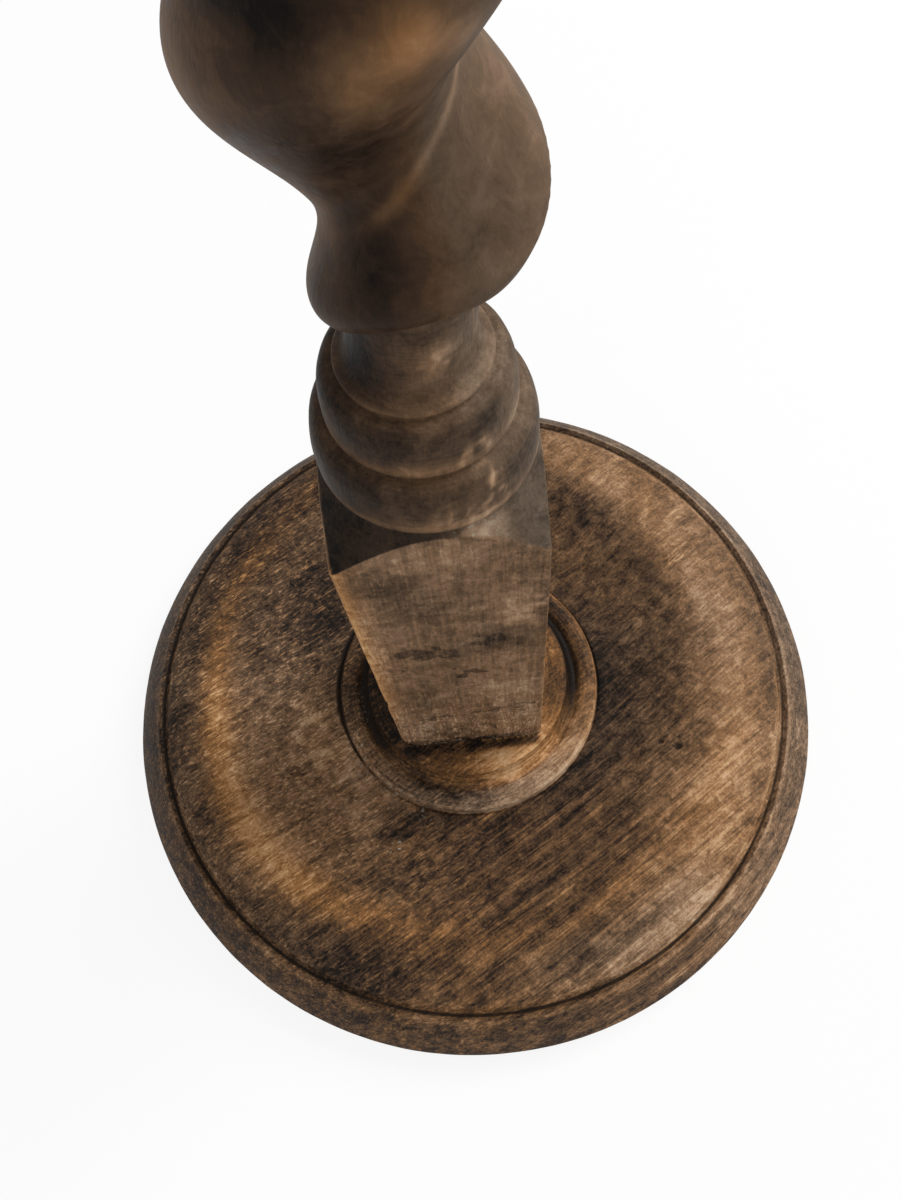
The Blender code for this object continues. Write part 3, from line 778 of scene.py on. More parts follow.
# Marks on the base, by x and y
BASE_WEAR = (
    (58, 28, 10, 7, 20, 12), (-66, -10, 8, 6, 60, 24), (-61, -24, 6, 5, 40, 20),
    (-77, -16, 9, 6, 20, -12), (-67, -32, 7, 5, 20, -12), (-78, 62, 22, 6, 25, 10),
    (52, 80, 12, 6, 140, -12), (66, 62, 14, 7, 130, -14), (80, 40, 12, 7, 110, -10),
)
BASE_STAINS = (
    (62, 66, 14, 6, 132, 36), (80, 40, 12, 7, 112, 32), (86, -22, 8, 4, 40, 40),
    (-33, -53, 12, 9, 30, 58), (-90, -37, 8, 6, 60, 32), (-60, 42, 16, 10, 30, 26),
    (-50, 34, 10, 9, 30, 26), (-80, 80, 16, 5, 35, 32), (-58, -108, 18, 5, 150, 36),
    (12, -92, 20, 4, 30, 34), (60, -91.5, 6, 4, 30, 44), (28, -64, 18, 4, 30, 34),
)
BASE_BARE = (
    (-66, -12, 10, 6, 60, 50), (-60, -26, 6, 4, 40, 46), (-85, 58, 10, 3, 30, 42),
    (-72, 52, 6, 2, 25, 50), (-62, 46, 4, 1.5, 10, 90), (-58, 38, 4, 1.2, -25, 90),
    (-68, 58, 5, 1.2, 35, 90), (-90, -66, 12, 6, 130, 40), (46, 100, 12, 6, 150, 28),
    (90, 50, 12, 5, 120, 36),
)
BASE_HAZE = ((45, -108, 36, 14, 20, 32), (72, -94, 24, 13, 45, 16))
BASE_PITS = ((74, -33, 1.4, 1.2, 20, 100), (80, -36, 2.2, 1.5, 20, 100))
BASE_CHALK = ((-34, -64, 2.4, 1.3, 70, 300), (-46, -20, 3, 16, 0, 50), (-30, -44, 14, 3, 140, 50))

# Marks on the boss, by the angle and radius
BOSS_WEAR = (
    (247, 45.5, 6, 1.6, -22), (258, 47, 5, 1.4, -20), (238, 43, 7, 1.8, -20), (268, 46.4, 4, 1.2, -28),
    (278, 43.5, 4, 1.2, -20), (262, 52, 6, 0.8, 20), (282, 40.5, 8, 1.1, 22), (291, 44.8, 5, 1.2, 16),
    (318, 47, 5, 1.2, 16), (342, 47, 6, 1.2, 14),
)


def base_profile():
    """Section of the base, from the top of the mortise round the outside and back."""
    bead_half = BOSS_BEAD_WIDTH / 2
    bead = (BOSS_COVE_FOOT + bead_half, DISH_FLOOR + BOSS_STEP)
    foot_outer = BASE_RADIUS - RIM_UNDERCUT
    foot_inner = foot_outer - FOOT_RING_WIDTH
    points = [(MORTISE_RADIUS, SEAT_TOP)]
    points += ellipse((BOSS_COVE_FOOT, SEAT_TOP), BOSS_COVE_WIDTH, BOSS_COVE_DEPTH, 180, 270)
    points += ellipse(bead, bead_half, BOSS_BEAD_HEIGHT, 150, 0)
    points.append((BOSS_EDGE, DISH_FLOOR - BOSS_LINE_DEPTH))
    for share in np.linspace(DISH_START, 1, DISH_STEPS):
        rise = DISH_DEPTH * (1 - math.cos(math.pi * share)) / 2
        points.append((mixed(BOSS_EDGE, CREST_RADIUS, share), DISH_FLOOR + rise))
    points += ellipse((CREST_RADIUS, RIM_TOP), DISH_EDGE - CREST_RADIUS, CREST_RISE, 88, 0)
    points.append((DISH_EDGE + QUIRK_WIDTH / 2, RIM_TOP - QUIRK_DEPTH))
    points += crowned((RIM_INNER, RIM_TOP), (BASE_RADIUS, RIM_HEIGHT), RIM_CROWN)
    points += ellipse((foot_outer, RIM_HEIGHT), RIM_UNDERCUT, RIM_HEIGHT, -10, -90)
    points += [(foot_inner, 0.0), (foot_inner - HOLLOW_SLOPE, BASE_HOLLOW), (MORTISE_RADIUS, BASE_HOLLOW)]
    return worn_profile(points)


def base_points():
    points = revolve(base_profile(), BASE_STEPS)
    x, y, z = np.moveaxis(points, -1, 0)
    free = smooth_step(np.hypot(x, y), SEAT_RADIUS, BOSS_EDGE) * smooth_step(z, *UNEVEN_FROM)
    depth = sum(unevenness(points, *layer) for layer in BASE_UNEVENNESS)
    depth += PIT_DEPTH * spots(x, y, BASE_PITS)
    return sunk_in(points, depth * free, wrap_rows=True)


def boss_tone(points):
    x, y, _ = points.T
    radius, angle = around_axis(points)
    # Seat, cove and bead are painted dark on the left, in shade, and light at the front right, where the
    # light falls; the bead's edge gets a painted highlight on the right
    tone = mixed(by_angle(angle, SEAT), by_angle(angle, COVE), smooth_step(radius, *COVE_START))
    tone = mixed(tone, by_angle(angle, BEAD), smooth_step(radius, *BEAD_START))
    foot_shade = (y < -BLOCK_HALF) * (1 - smooth_step(-y, *FOOT_SHADE_END))
    foot_shade = foot_shade * (1 - smooth_step(np.abs(x), *FOOT_SHADE_SIDE))
    tone -= foot_shade * mixed(*FOOT_SHADE, smooth_step(x, *DEEP_SHADE_START))
    rough_radius, rough_angle = around_axis(wandered(points, *ROUGH_BOSS))
    tone += round_spots(rough_angle, rough_radius, BOSS_WEAR)
    return tone + ridge(radius, *BEAD_HIGHLIGHT) * by_angle(angle, BEAD_EDGE_LIGHT)


def paint_base(mesh):
    points = mesh_points(mesh)
    x, y, z = points.T
    ragged_x, ragged_y, _ = wandered(points, *RAGGED_BASE).T
    radius, angle = around_axis(points)
    ring_radius = by_angle(angle, WORN_RING_RADIUS, MILLIMETRE)
    ring_width = by_angle(angle, WORN_RING_WIDTH, MILLIMETRE)
    ring_foot = ring_radius - ring_width
    worn_ring = ridge(radius, ring_radius, ring_width)
    on_rim = smooth_step(radius, DISH_EDGE, RIM_INNER)
    on_boss = 1 - smooth_step(radius, *BOSS_END)
    below = 1 - smooth_step(z, *UNDERSIDE_END)
    on_dish = (1 - on_boss) * (1 - below)

    outwards = np.clip((radius - BOSS_EDGE) / (ring_foot - BOSS_EDGE), 0, 1)
    # Dish, slope and rim are painted lighter or darker by the angle, as the light from the right falls on
    # them, and painted highlights run along the groove's edges
    tone = mixed(by_angle(angle, DISH_BY_BOSS), by_angle(angle, DISH_BY_RING), outwards)
    tone = mixed(tone, by_angle(angle, SLOPE), smooth_step(radius, ring_foot, ring_radius + ring_width))
    tone += by_angle(angle, WORN_RING) * worn_ring
    tone += by_angle(angle, SLOPE_EDGE) * smooth_step(radius, *SLOPE_EDGE_START)
    tone += DISH_HIGHLIGHT_TONE * ridge(radius, *DISH_HIGHLIGHT)
    tone = mixed(tone, by_angle(angle, RIM), on_rim) + RIM_HIGHLIGHT_TONE * ridge(radius, *RIM_HIGHLIGHT)
    tone = mixed(tone, boss_tone(points), on_boss)
    tone += spots(ragged_x, ragged_y, BASE_WEAR) * on_dish

    haze = mixed(by_angle(angle, DISH_HAZE), by_angle(angle, RING_HAZE), worn_ring)
    haze = mixed(haze + spots(x, y, BASE_HAZE), by_angle(angle, RIM_HAZE), on_rim)
    bead_haze = by_angle(angle, BEAD_HAZE) * smooth_step(radius, *BEAD_HAZE_START)
    haze = mixed(haze, bead_haze, on_boss)
    # Dirt and painted shade in the hollows, with the painted shadow round the boss's foot
    grime = sum(ridge(radius, place, width) * by_angle(angle, dirt) for place, width, dirt in BASE_DIRT_AND_SHADE)
    paint(
        mesh,
        tone=tone,
        haze=haze,
        grime=grime + spots(x, y, BASE_PITS) + 0.25 * below,
        stain=spots(ragged_x, ragged_y, BASE_STAINS) * on_dish,
        bare=spots(ragged_x, ragged_y, BASE_BARE) * on_dish,
        chalk=spots(x, y, BASE_CHALK) * (1 - below),
        streak=by_angle(angle, BASE_STREAKS) * (1 - 0.4 * on_boss),
        fleck=by_angle(angle, BASE_FLECKS),
        turned=0.08 + 0.62 * on_boss + 0.12 * on_rim,
        crisp=np.ones_like(radius),
    )


def make_base():
    mesh = grid_mesh("stained_base", base_points(), wrap_rows=True)
    paint_base(mesh)
    material = stained_beech("base_stained_beech", BASE_GRAIN_CENTRE, roughness=0.62, sheen=0.08)
    add_piece("stained_base", mesh, material, "base")


# Column

RAGGED_BLOCK = (0.0035, 0.0055)
ROUGH_MOULDINGS = (0.0025, 0.0022)
# Each a size, depths where the wood is turned and where it is carved, and a seed
COLUMN_UNEVENNESS = ((0.024, 0.0002, 0.0006, 3.1), (0.005, 0.00018, 0.000018, 5.7))
JOINT_MARGIN = 0.004  # height beside a joint over which the unevenness fades in
LEAN_END = (NECK_TOP - 0.008, NECK_TOP + 0.006)

# Rows of points: shares of the way across the tenon's shoulder, insets and rises at the block's foot,
# insets and drops at its arches, and shares of the way across its own shoulder
TENON_SHARES = (0, 0.3, 0.6, 0.85)
FOOT_ROUNDING = ((0.0007, 0.0), (0.0003, 0.00015), (0.0001, 0.0004), (0.0, 0.0009))
ARCH_ROUNDING = ((0.0, 0.0008), (0.0, 0.0003), (0.00012, 0.0))
SHOULDER_SHARES = (0.04, 0.12, 0.3, 0.5, 0.7, 0.88)

# Levels between which a zone of the column fades in or out
ARCH_END = (-0.0001, 0.0004)  # from the arch
ROPE_START = (-0.001, 0.002)  # from the rope's end
LIP_END = (LIP_LEVEL - 0.0006, LIP_LEVEL + 0.002)
FOOT_END = (LOWER_BLOCK_END, LOWER_BLOCK_END + 0.090)
LEFT_WEAR_START = (0.05, 0.10)  # on the front left arris
VALLEY_START = (NECK_TOP + 0.025, NECK_TOP + 0.040)
FRONT_FACE = -0.024  # in y
FRONT_TOP = LOWER_SHOULDER + 0.02
ARRIS_WEAR = 0.0009  # how far it reaches from the arris
LEFT_WEAR = 0.0030
VALLEY = 0.008  # share of the rope's swing that the painted highlight in its hollow takes
FOOT_SHADOW_LINE = (LOWER_BLOCK_END, 0.0012)  # level and half height of the painted shadow line along the block's foot
# Tone and haze of the block, strength of its marks, and what the noses' wear and painted highlight, the
# hollows' painted shade and the painted highlight in the rope's hollow add to a tone
BLOCK_TONE = 0.59
BLOCK_MARKS = 1.9
ARRIS_TONE = 0.20
LEFT_ARRIS_TONE = 0.25
FOOT_TONE = 0.16
BLOCK_HAZE = 0.42
NOSE_TONE = 0.22
HOLLOW_TONE = -0.08
VALLEY_TONE = 0.22
# Worn noses of the mouldings, lighter also as a painted highlight, each a level, half height and
# strength, and the hollows below them, darker as painted shade
NOSES = (
    (BEAD_LEVEL + 0.0002, 0.0020, 1.0),
    (MIDDLE_NOSE_LEVEL + 0.0008, 0.0026, 1.1),
    (UPPER_NOSE_LEVEL, 0.0018, 1.0),
)
HOLLOWS = ((MIDDLE_NOSE_FOOT - 0.0040, 0.0048), (UPPER_NOSE_FOOT - 0.0040, 0.0048))

# Tones, haze and shade of the turned parts in per cent, by the angle in degrees. The tones hold painted
# light and shade, darker on the left and lighter on the right; the haze of the twist and mouldings is
# partly a painted sheen on the right; the shoulder gets painted shade on its left.
MOULDING_TONES = {0: 42, 60: 34, 120: 22, 180: 14, 225: 16, 262: 37, 290: 42, 320: 42}
TWIST_TONES = {
    0: 50, 30: 50, 90: 42, 150: 40, 205: 40, 225: 28, 245: 21, 262: 22, 275: 31, 290: 40, 305: 40,
    330: 45,
}
SHOULDER_TONES = {0: 34, 90: 22, 180: 8, 225: 5, 270: 20, 300: 38, 325: 42}
SHOULDER_SHADE = {0: 10, 90: 50, 180: 100, 230: 100, 280: 20}
MOULDING_HAZE_AND_SHEEN = {0: 75, 60: 50, 150: 20, 225: 25, 280: 45, 315: 75}
TWIST_HAZE_AND_SHEEN = {0: 50, 60: 40, 150: 20, 225: 20, 280: 10, 300: 60, 320: 60}

# Marks on the front of the lower block, by x and z
BLOCK_TONES = (
    (19, 162, 6.2, 10, 0, 11), (11, 143, 8.2, 9, -25, -17), (25.5, 168, 2.4, 22, 0, -14),
    (-17, 186, 7, 13, 30, -13), (-6, 168, 10, 5, 30, -10), (-2, 201, 15, 6, 0, 6), (15, 98, 9, 12, 0, 7),
    (-13, 90, 8, 16, 0, -8), (-6, 48, 7, 8, 0, -14), (15, 55, 8, 9, 0, 6), (4, 56, 5, 10, 0, -5),
    (0, 34.5, 30, 3.4, 0, -26),
)
BLOCK_STAINS = (
    (-13, 138, 6.2, 4.4, -4, 62), (-4.5, 134, 7, 3, -8, 52), (2.8, 116.5, 4.6, 3.4, 0, 80),
    (11, 143, 10, 9, -20, 38), (-21, 123, 2.2, 5.4, 0, 46), (-14, 69, 7, 1.3, 4, 70),
    (0, 70.8, 9, 1.2, 6, 60), (12.5, 73.5, 6, 1.2, 12, 70), (20.5, 76.5, 5.5, 1.3, 14, 70),
    (-1, 35, 26, 3, 0, 56),
)
BLOCK_BARE = ((-18, 188, 0.9, 8, 0, 60), (-24.6, 140, 2.6, 44, 0, 48), (26.2, 178, 0.8, 24, 0, 50))
BLOCK_CHALK = (
    (-26.5, 56, 1.6, 14, 0, 70), (26.8, 64, 0.8, 18, 0, 80), (-12.5, 88, 4.6, 1, 55, 60),
    (-18, 58, 8, 12, 0, 40), (12, 70, 10, 1.6, 5, 50), (0, 36, 25, 2, 0, 40),
)

# Marks on the turned parts, by the angle and height: from the floor on the twist, else above the block.
# Besides wear, the twist's marks hold a painted reflection on its left bulge, painted shade under the
# rope and a painted highlight on its front, and the mouldings' marks a painted shadow on the neck's left.
MOULDING_WEAR_AND_SHADE = (
    (288, 60, 12, 4, 40), (278, 56, 10, 3, 10), (208, 58, 22, 8, -30), (262, 68, 30, 5, -4),
    (262, 35.5, 22, 3, 10), (288, 34.8, 3, 1.4, 40), (291, 37.5, 3, 1.3, 40), (297, 39, 4, 1.2, 42),
    (303, 38.2, 3, 1.3, 40), (306, 35.6, 3, 1.6, 34), (297, 36.2, 5, 1.6, -20), (332, 41, 16, 6, 14),
    (291, 16.8, 9, 2.2, 24), (268, 20.5, 3, 4, 18), (277, 21.5, 2, 4.5, 28), (286, 20.5, 2, 4.5, 28),
    (295, 20, 3, 4.5, 28), (306, 19.5, 3, 4, 22), (250, 40, 12, 4, -10), (310, 44, 10, 3, -16),
    (302, 28.6, 3.8, 1.9, 70), (305, 23.8, 2.6, 1.3, 46), (297, 23.4, 2.6, 1.3, 40),
    (348, 30, 15, 5, 12), (285, 28, 16, 3, 4),
)
TWIST_WEAR_AND_LIGHT = (
    (212, 324, 15, 6, 12), (240, 339, 26, 6, -18), (252, 325, 9, 10, -6), (266, 329, 8, 6, 28),
    (282, 334, 10, 5, 46), (297, 331, 8, 4, 24), (262, 311, 14, 7, -12), (250, 290, 22, 5, -14),
    (262, 283, 14, 5, -10), (318, 285, 16, 2.5, 10), (212, 277, 14, 5, -14),
)
SHOULDER_WEAR = ((288, 11.5, 8, 4, 60), (300, 12, 8, 4, 22), (280, 8, 5, 3, -6))
SHOULDER_CHALK = ((288, 12, 9, 4.5, 60),)

# Chips in the blocks' corners: sides in x and y, then height, reach, depth and share of it upwards
BLOCK_CHIPS = (
    (-1, -1, 0.0350, 0.0036, 0.0018, 0.1),
    (-1, -1, 0.0420, 0.0022, 0.0010, 0.0),
    (-1, -1, 0.0900, 0.0030, 0.0006, 0.0),
    (1, -1, 0.1180, 0.0026, 0.0006, 0.0),
    (1, -1, 0.0360, 0.0025, 0.0010, 0.1),
    (1, 1, 0.0700, 0.0034, 0.0009, 0.0),
    (-1, 1, 0.1500, 0.0030, 0.0008, 0.0),
    (-1, -1, 0.7950, 0.0030, 0.0008, 0.0),
    (1, 1, 0.8300, 0.0034, 0.0009, 0.0),
)
CHIP_INWARDS = 0.7  # share of a chip's depth in x and in y
LEAST_CHIP = 0.6
CHIP_ROUGHNESS = (0.0016, 0.8, 11.0)


def column_angles():
    """Angles of the column's points, closer together at the corners of the blocks."""
    even = np.arange(0.0, 360.0, COLUMN_STEP_ANGLE)
    fan = np.linspace(-CORNER_REACH, CORNER_REACH, CORNER_STEPS)
    corners = np.concatenate([centre + fan for centre in (45, 135, 225, 315)])
    return np.radians(np.unique(np.concatenate([even, corners]).round(4)))


def square_radius(angle):
    """Radius of the block's square section with its arrises rounded."""
    folded = np.abs((angle + np.pi / 4) % (np.pi / 2) - np.pi / 4)
    centre = (BLOCK_HALF - ARRIS_RADIUS) * math.sqrt(2)
    offset = centre * np.sin(np.pi / 4 - folded)
    corner = centre * np.cos(np.pi / 4 - folded) + np.sqrt(np.maximum(ARRIS_RADIUS**2 - offset**2, 0))
    flat_end = math.atan2(BLOCK_HALF - ARRIS_RADIUS, BLOCK_HALF)
    return np.where(folded <= flat_end, BLOCK_HALF / np.cos(folded), corner)


def arch_level(angle):
    """Height above the block's corners at which its shoulder meets its faces."""
    return (BLOCK_CORNER - square_radius(angle)) / SHOULDER_SLOPE


def ovolo(radius, level, width, height, steps=24):
    """Points up a full round moulding, from its widest level to its nearly flat top."""
    turns = np.linspace(0, np.pi / 2, steps + 1)
    across = radius - width + width * np.cos(turns).clip(0) ** (2 / OVOLO_FULLNESS)
    up = level + height * np.sin(turns) ** (2 / OVOLO_FULLNESS)
    return list(zip(across, up))


def moulding_profile():
    """Mouldings of a column end, as radius and height above the block's corners."""
    half_nose = NOSE_HEIGHT / 2
    middle_nose = (MIDDLE_NOSE_RADIUS - NOSE_DEPTH, MIDDLE_NOSE_LEVEL)
    upper_nose = (UPPER_NOSE_RADIUS - NOSE_DEPTH, UPPER_NOSE_LEVEL)
    cove = (upper_nose[0], UPPER_NOSE_LEVEL + half_nose + NECK_COVE_HEIGHT)
    points = [(LIP_RADIUS, LIP_LEVEL)]
    points += ellipse((LIP_RADIUS, BEAD_LEVEL), BEAD_RADIUS - LIP_RADIUS, BEAD_RISE, -75, 0)
    points += ovolo(BEAD_RADIUS, BEAD_LEVEL, *LOWER_OVOLO)
    points += ellipse(middle_nose, NOSE_DEPTH, half_nose, -90, 0, 8)
    points += ovolo(MIDDLE_NOSE_RADIUS, MIDDLE_NOSE_LEVEL, *UPPER_OVOLO)
    points += ellipse(upper_nose, NOSE_DEPTH, half_nose, -90, 60, 8)
    points += ellipse(cove, cove[0] - NECK_RADIUS, NECK_COVE_HEIGHT, 260, 180)
    points.append((NECK_RADIUS, NECK_TOP))
    return worn_profile(points, wear=MOULDING_ROUNDING)


def lower_end_rise(angle):
    """How far above the neck the rope's lower end starts on each side of the column."""
    facing = (1 + np.cos(angle - math.radians(END_RISE_ANGLE))) / 2
    return END_RISE * facing**END_RISE_FOCUS


def rope_phase(angle, height):
    """Angle from the rope's crest at a height."""
    return angle - math.radians(TWIST_START_ANGLE) - 2 * np.pi * (height - TWIST_FOOT) / TWIST_PITCH


def twist_radius(angle, height):
    """Radius of the twist: a rope that winds up the column, rounded off at both ends."""
    rise = lower_end_rise(angle) * (height < TWIST_MIDDLE)
    end_distance = np.minimum(height - TWIST_FOOT - rise, TWIST_HEAD - height).clip(0)
    end_share = np.minimum(end_distance / (TWIST_END - rise), 1.0)
    power = TWIST_END_FULLNESS + END_BLUNTING * rise / TWIST_END
    fullness = (1 - (1 - end_share) ** power) ** (1 / power)
    turned = mixed(NECK_RADIUS, TWIST_CREST, fullness)
    rope = mixed(TWIST_ROOT, TWIST_CREST, (1 + np.cos(rope_phase(angle, height))) / 2)
    carved = np.maximum(turned - rope, 0.0)
    return turned - carved * smooth_step(end_distance, 0.0, HOLLOW_RUN_OUT)


def end_rows(angle, block_height, row_height):
    """Radius and height rows of a column end, from the end of its tenon's solid part to the neck."""
    square = square_radius(angle)
    level = np.ones_like(angle)
    arch = arch_level(angle)
    foot = -block_height
    rows = [(TENON_RADIUS * level, (foot - KERF_ROOT) * level)]
    rows += [(mixed(TENON_RADIUS, square, share), foot * level) for share in TENON_SHARES]
    for inset, rise in FOOT_ROUNDING:
        rows.append((square - inset, (foot + rise) * level))
    start = foot + rise
    count = int((block_height + SHOULDER_RISE) / row_height)
    rows += [(square, mixed(start, arch, share)) for share in np.linspace(0, 1, count + 1)[1:-1]]
    for inset, below in ARCH_ROUNDING:
        rows.append((square - inset, arch - below))
    for share in SHOULDER_SHARES:
        rows.append((mixed(square, LIP_RADIUS, share), mixed(arch, LIP_LEVEL, share)))
    return rows + [(radius * level, height * level) for radius, height in moulding_profile()]


def column_points():
    angle = column_angles()
    lower = end_rows(angle, LOWER_BLOCK_HEIGHT, BLOCK_ROW)
    upper = end_rows(angle, UPPER_BLOCK_HEIGHT, UNSEEN_BLOCK_ROW)
    seen_end = TWIST_FOOT + SEEN_TWIST
    seen = np.arange(TWIST_FOOT, seen_end, TWIST_ROW)[1:]
    heights = np.concatenate([seen, np.arange(seen_end, TWIST_HEAD, UNSEEN_TWIST_ROW)])
    rows = [(radius, UPPER_SHOULDER - height) for radius, height in upper]
    rows += [(twist_radius(angle, height), np.full_like(angle, height)) for height in heights[::-1]]
    rows += [(radius, LOWER_SHOULDER + height) for radius, height in lower[::-1]]
    radius, height = np.moveaxis(np.array(rows), 1, 0)
    above = height - LOWER_SHOULDER
    lean = np.clip(1 + above / LOWER_BLOCK_HEIGHT, 0, 1)
    shift = COLUMN_LEAN * lean * (1 - smooth_step(above, *LEAN_END))
    points = np.stack([radius * np.cos(angle) + shift, radius * np.sin(angle), height], axis=-1)
    return weather_column(points)


def weather_column(points):
    """Uneven carving and chipped corners."""
    height = points[..., 2]
    carved = smooth_step(height, TWIST_FOOT, TWIST_FOOT + HOLLOW_RUN_OUT)
    carved *= 1 - smooth_step(height, TWIST_HEAD - HOLLOW_RUN_OUT, TWIST_HEAD)
    free = smooth_step(height, LOWER_BLOCK_END, LOWER_BLOCK_END + JOINT_MARGIN)
    free *= 1 - smooth_step(height, UPPER_BLOCK_END - JOINT_MARGIN, UPPER_BLOCK_END)
    depth = np.zeros_like(height)
    for size, turned_depth, carved_depth, seed in COLUMN_UNEVENNESS:
        depth += mixed(turned_depth, carved_depth, carved) * unevenness(points, size, 1.0, seed)
    points = sunk_in(points, depth * free)
    ragged = LEAST_CHIP + unevenness(points, *CHIP_ROUGHNESS)
    for side_x, side_y, level, reach, chip_depth, lift in BLOCK_CHIPS:
        place = np.array((side_x * CHIP_PLACE, side_y * CHIP_PLACE, level))
        towards = np.array((-side_x * CHIP_INWARDS, -side_y * CHIP_INWARDS, lift))
        near = ridge(np.linalg.norm(points - place, axis=-1), 0.0, reach)
        points = points + (near * chip_depth * ragged)[..., None] * towards
    return points


def tenon_tongue(end, shoulder, side):
    """Half of a split tenon beside its wedge, from the tenon's end to where the saw cut stops."""
    towards = math.copysign(1, shoulder - end)
    cut = abs(shoulder - end) - KERF_ROOT + FIT_GAP
    middle = math.radians(WEDGE_ANGLE) * towards + side
    rows = []
    for share in np.linspace(0, 1, TENON_ROWS):
        half_gap = mixed(WEDGE_THICKNESS, WEDGE_TIP, share) / 2 + FIT_GAP
        limit = math.acos(half_gap / TENON_RADIUS)
        angle = middle + np.linspace(-limit, limit, TENON_STEPS)
        height = np.full_like(angle, (end + towards * cut * share) / TENON_RADIUS)
        rows.append(TENON_RADIUS * np.stack([np.cos(angle), np.sin(angle), height], axis=-1))
    return np.array(rows[::-1] if towards > 0 else rows)


def paint_column(mesh):
    points = mesh_points(mesh)
    x, y, z = points.T
    _, angle = around_axis(points)
    turn = np.radians(angle)
    lower_half = z < TWIST_MIDDLE
    above = np.where(lower_half, z - LOWER_SHOULDER, UPPER_SHOULDER - z)
    on_block = 1 - smooth_step(above - arch_level(turn), *ARCH_END)
    rope_start = NECK_TOP + lower_half * lower_end_rise(turn)
    on_twist = smooth_step(above - rope_start, *ROPE_START)
    on_shoulder = (1 - on_block) * (1 - smooth_step(above, *LIP_END))
    on_mouldings = (1 - on_block) * (1 - on_twist) - on_shoulder

    arris = np.exp((np.minimum(np.abs(x), np.abs(y)) - BLOCK_HALF) / ARRIS_WEAR)
    left_front = np.exp(-np.hypot(x + BLOCK_HALF, y + BLOCK_HALF) / LEFT_WEAR)
    left_front *= smooth_step(z, *LEFT_WEAR_START)
    front = (y < FRONT_FACE) * (z < FRONT_TOP)
    low = 1 - smooth_step(z, *FOOT_END)
    ragged_x, _, ragged_z = wandered(points, *RAGGED_BLOCK).T
    block = BLOCK_TONE + ARRIS_TONE * arris + LEFT_ARRIS_TONE * left_front + FOOT_TONE * low
    block += BLOCK_MARKS * front * spots(ragged_x, ragged_z, BLOCK_TONES)

    rough = wandered(points, *ROUGH_MOULDINGS)
    _, rough_angle = around_axis(rough)
    rough_above = above + rough[:, 2] - z
    # Tones by the angle are painted darker on the left and lighter on the right; the noses get wear and a
    # painted highlight, the hollows painted shade
    noses = sum(strength * ridge(above, level, half) for level, half, strength in NOSES)
    hollow = sum(ridge(above, *place) for place in HOLLOWS)
    mouldings = by_angle(angle, MOULDING_TONES) + NOSE_TONE * noses + HOLLOW_TONE * hollow
    mouldings += lower_half * round_spots(rough_angle, rough_above, MOULDING_WEAR_AND_SHADE)
    shoulder = by_angle(angle, SHOULDER_TONES)
    shoulder += lower_half * round_spots(rough_angle, rough_above, SHOULDER_WEAR)
    # A painted highlight along the hollow of the rope
    valley = np.exp(-(1 + np.cos(rope_phase(turn, z))) / VALLEY)
    twist = by_angle(angle, TWIST_TONES) + round_spots(angle, z, TWIST_WEAR_AND_LIGHT)
    twist += VALLEY_TONE * valley * smooth_step(above, *VALLEY_START)

    haze = BLOCK_HAZE * on_block * (1 - left_front) * (1 - arris)
    # Haze, with a painted sheen on the right of the twist and mouldings
    haze += on_twist * by_angle(angle, TWIST_HAZE_AND_SHEEN)
    haze += by_angle(angle, MOULDING_HAZE_AND_SHEEN) * (1.2 * on_shoulder + 0.9 * on_mouldings)
    # A painted shadow line along the block's foot, and painted shade with dirt in the mouldings' hollows
    grime = 0.9 * ridge(z, *FOOT_SHADOW_LINE) + 0.10 * hollow * on_mouldings
    on_front = front * on_block
    chalk = on_shoulder * lower_half * round_spots(angle, above, SHOULDER_CHALK)
    paint(
        mesh,
        tone=block * on_block + shoulder * on_shoulder + mouldings * on_mouldings + twist * on_twist,
        haze=haze,
        # Painted shade on the shoulder's left
        grime=grime + 0.30 * on_shoulder * by_angle(angle, SHOULDER_SHADE),
        stain=on_front * spots(ragged_x, ragged_z, BLOCK_STAINS),
        bare=on_front * spots(ragged_x, ragged_z, BLOCK_BARE),
        chalk=chalk + on_front * spots(x, z, BLOCK_CHALK),
        streak=0.20 * on_block + 0.02,
        fleck=(0.30 + 0.50 * low) * on_block + 0.10,
        turned=0.20 * on_mouldings + 0.15 * on_shoulder,
        crisp=(0.60 + 0.40 * low) * on_block + 0.34 * (on_mouldings + on_shoulder) + 0.12 * on_twist,
    )


def make_column():
    shapes = [grid_mesh("twist_column", column_points())]
    for end, shoulder in ((COLUMN_FOOT, LOWER_BLOCK_END), (COLUMN_HEAD, UPPER_BLOCK_END)):
        shapes += [grid_mesh("tongue", tenon_tongue(end, shoulder, side)) for side in (0, math.pi)]
    mesh = join_meshes("twist_column", shapes)
    paint_column(mesh)
    material = stained_beech("column_stained_beech", roughness=0.55, sheen=0.05)
    add_piece("twist_column", mesh, material, "column")


# Cleat, top, screws and wedges

TOP_GRAIN_CENTRE = (-0.190, 0.520)
TOP_WEAR = {0: 16, 70: 26, 150: 12, 220: 24, 300: 18}  # along the edge, by the angle
POT_RINGS = ((0.008, -0.004, 0.071), (-0.012, 0.010, 0.058))  # each an x, y and radius
POT_RING_HALF = 0.0022
POT_HAZE_HALF = 0.006
TOP_UNEVENNESS = ((0.025, 0.0003, 2.0), (0.006, 0.00012, 9.0))  # each a size, depth and seed
TOP_FACE_START = (TOP_FACE - 0.0016, TOP_FACE - 0.0004)
TOP_UNDERSIDE_END = (TOP_FOOT + 0.0005, TOP_FOOT + 0.003)
TOP_ROLL_START = (TOP_QUIRK, TOP_QUIRK + 0.003)
TOP_EDGE = (TOP_RADIUS - 0.004, 0.004)  # radius and half width of its wear
TOP_DIRT = (TOP_QUIRK, 0.0011)
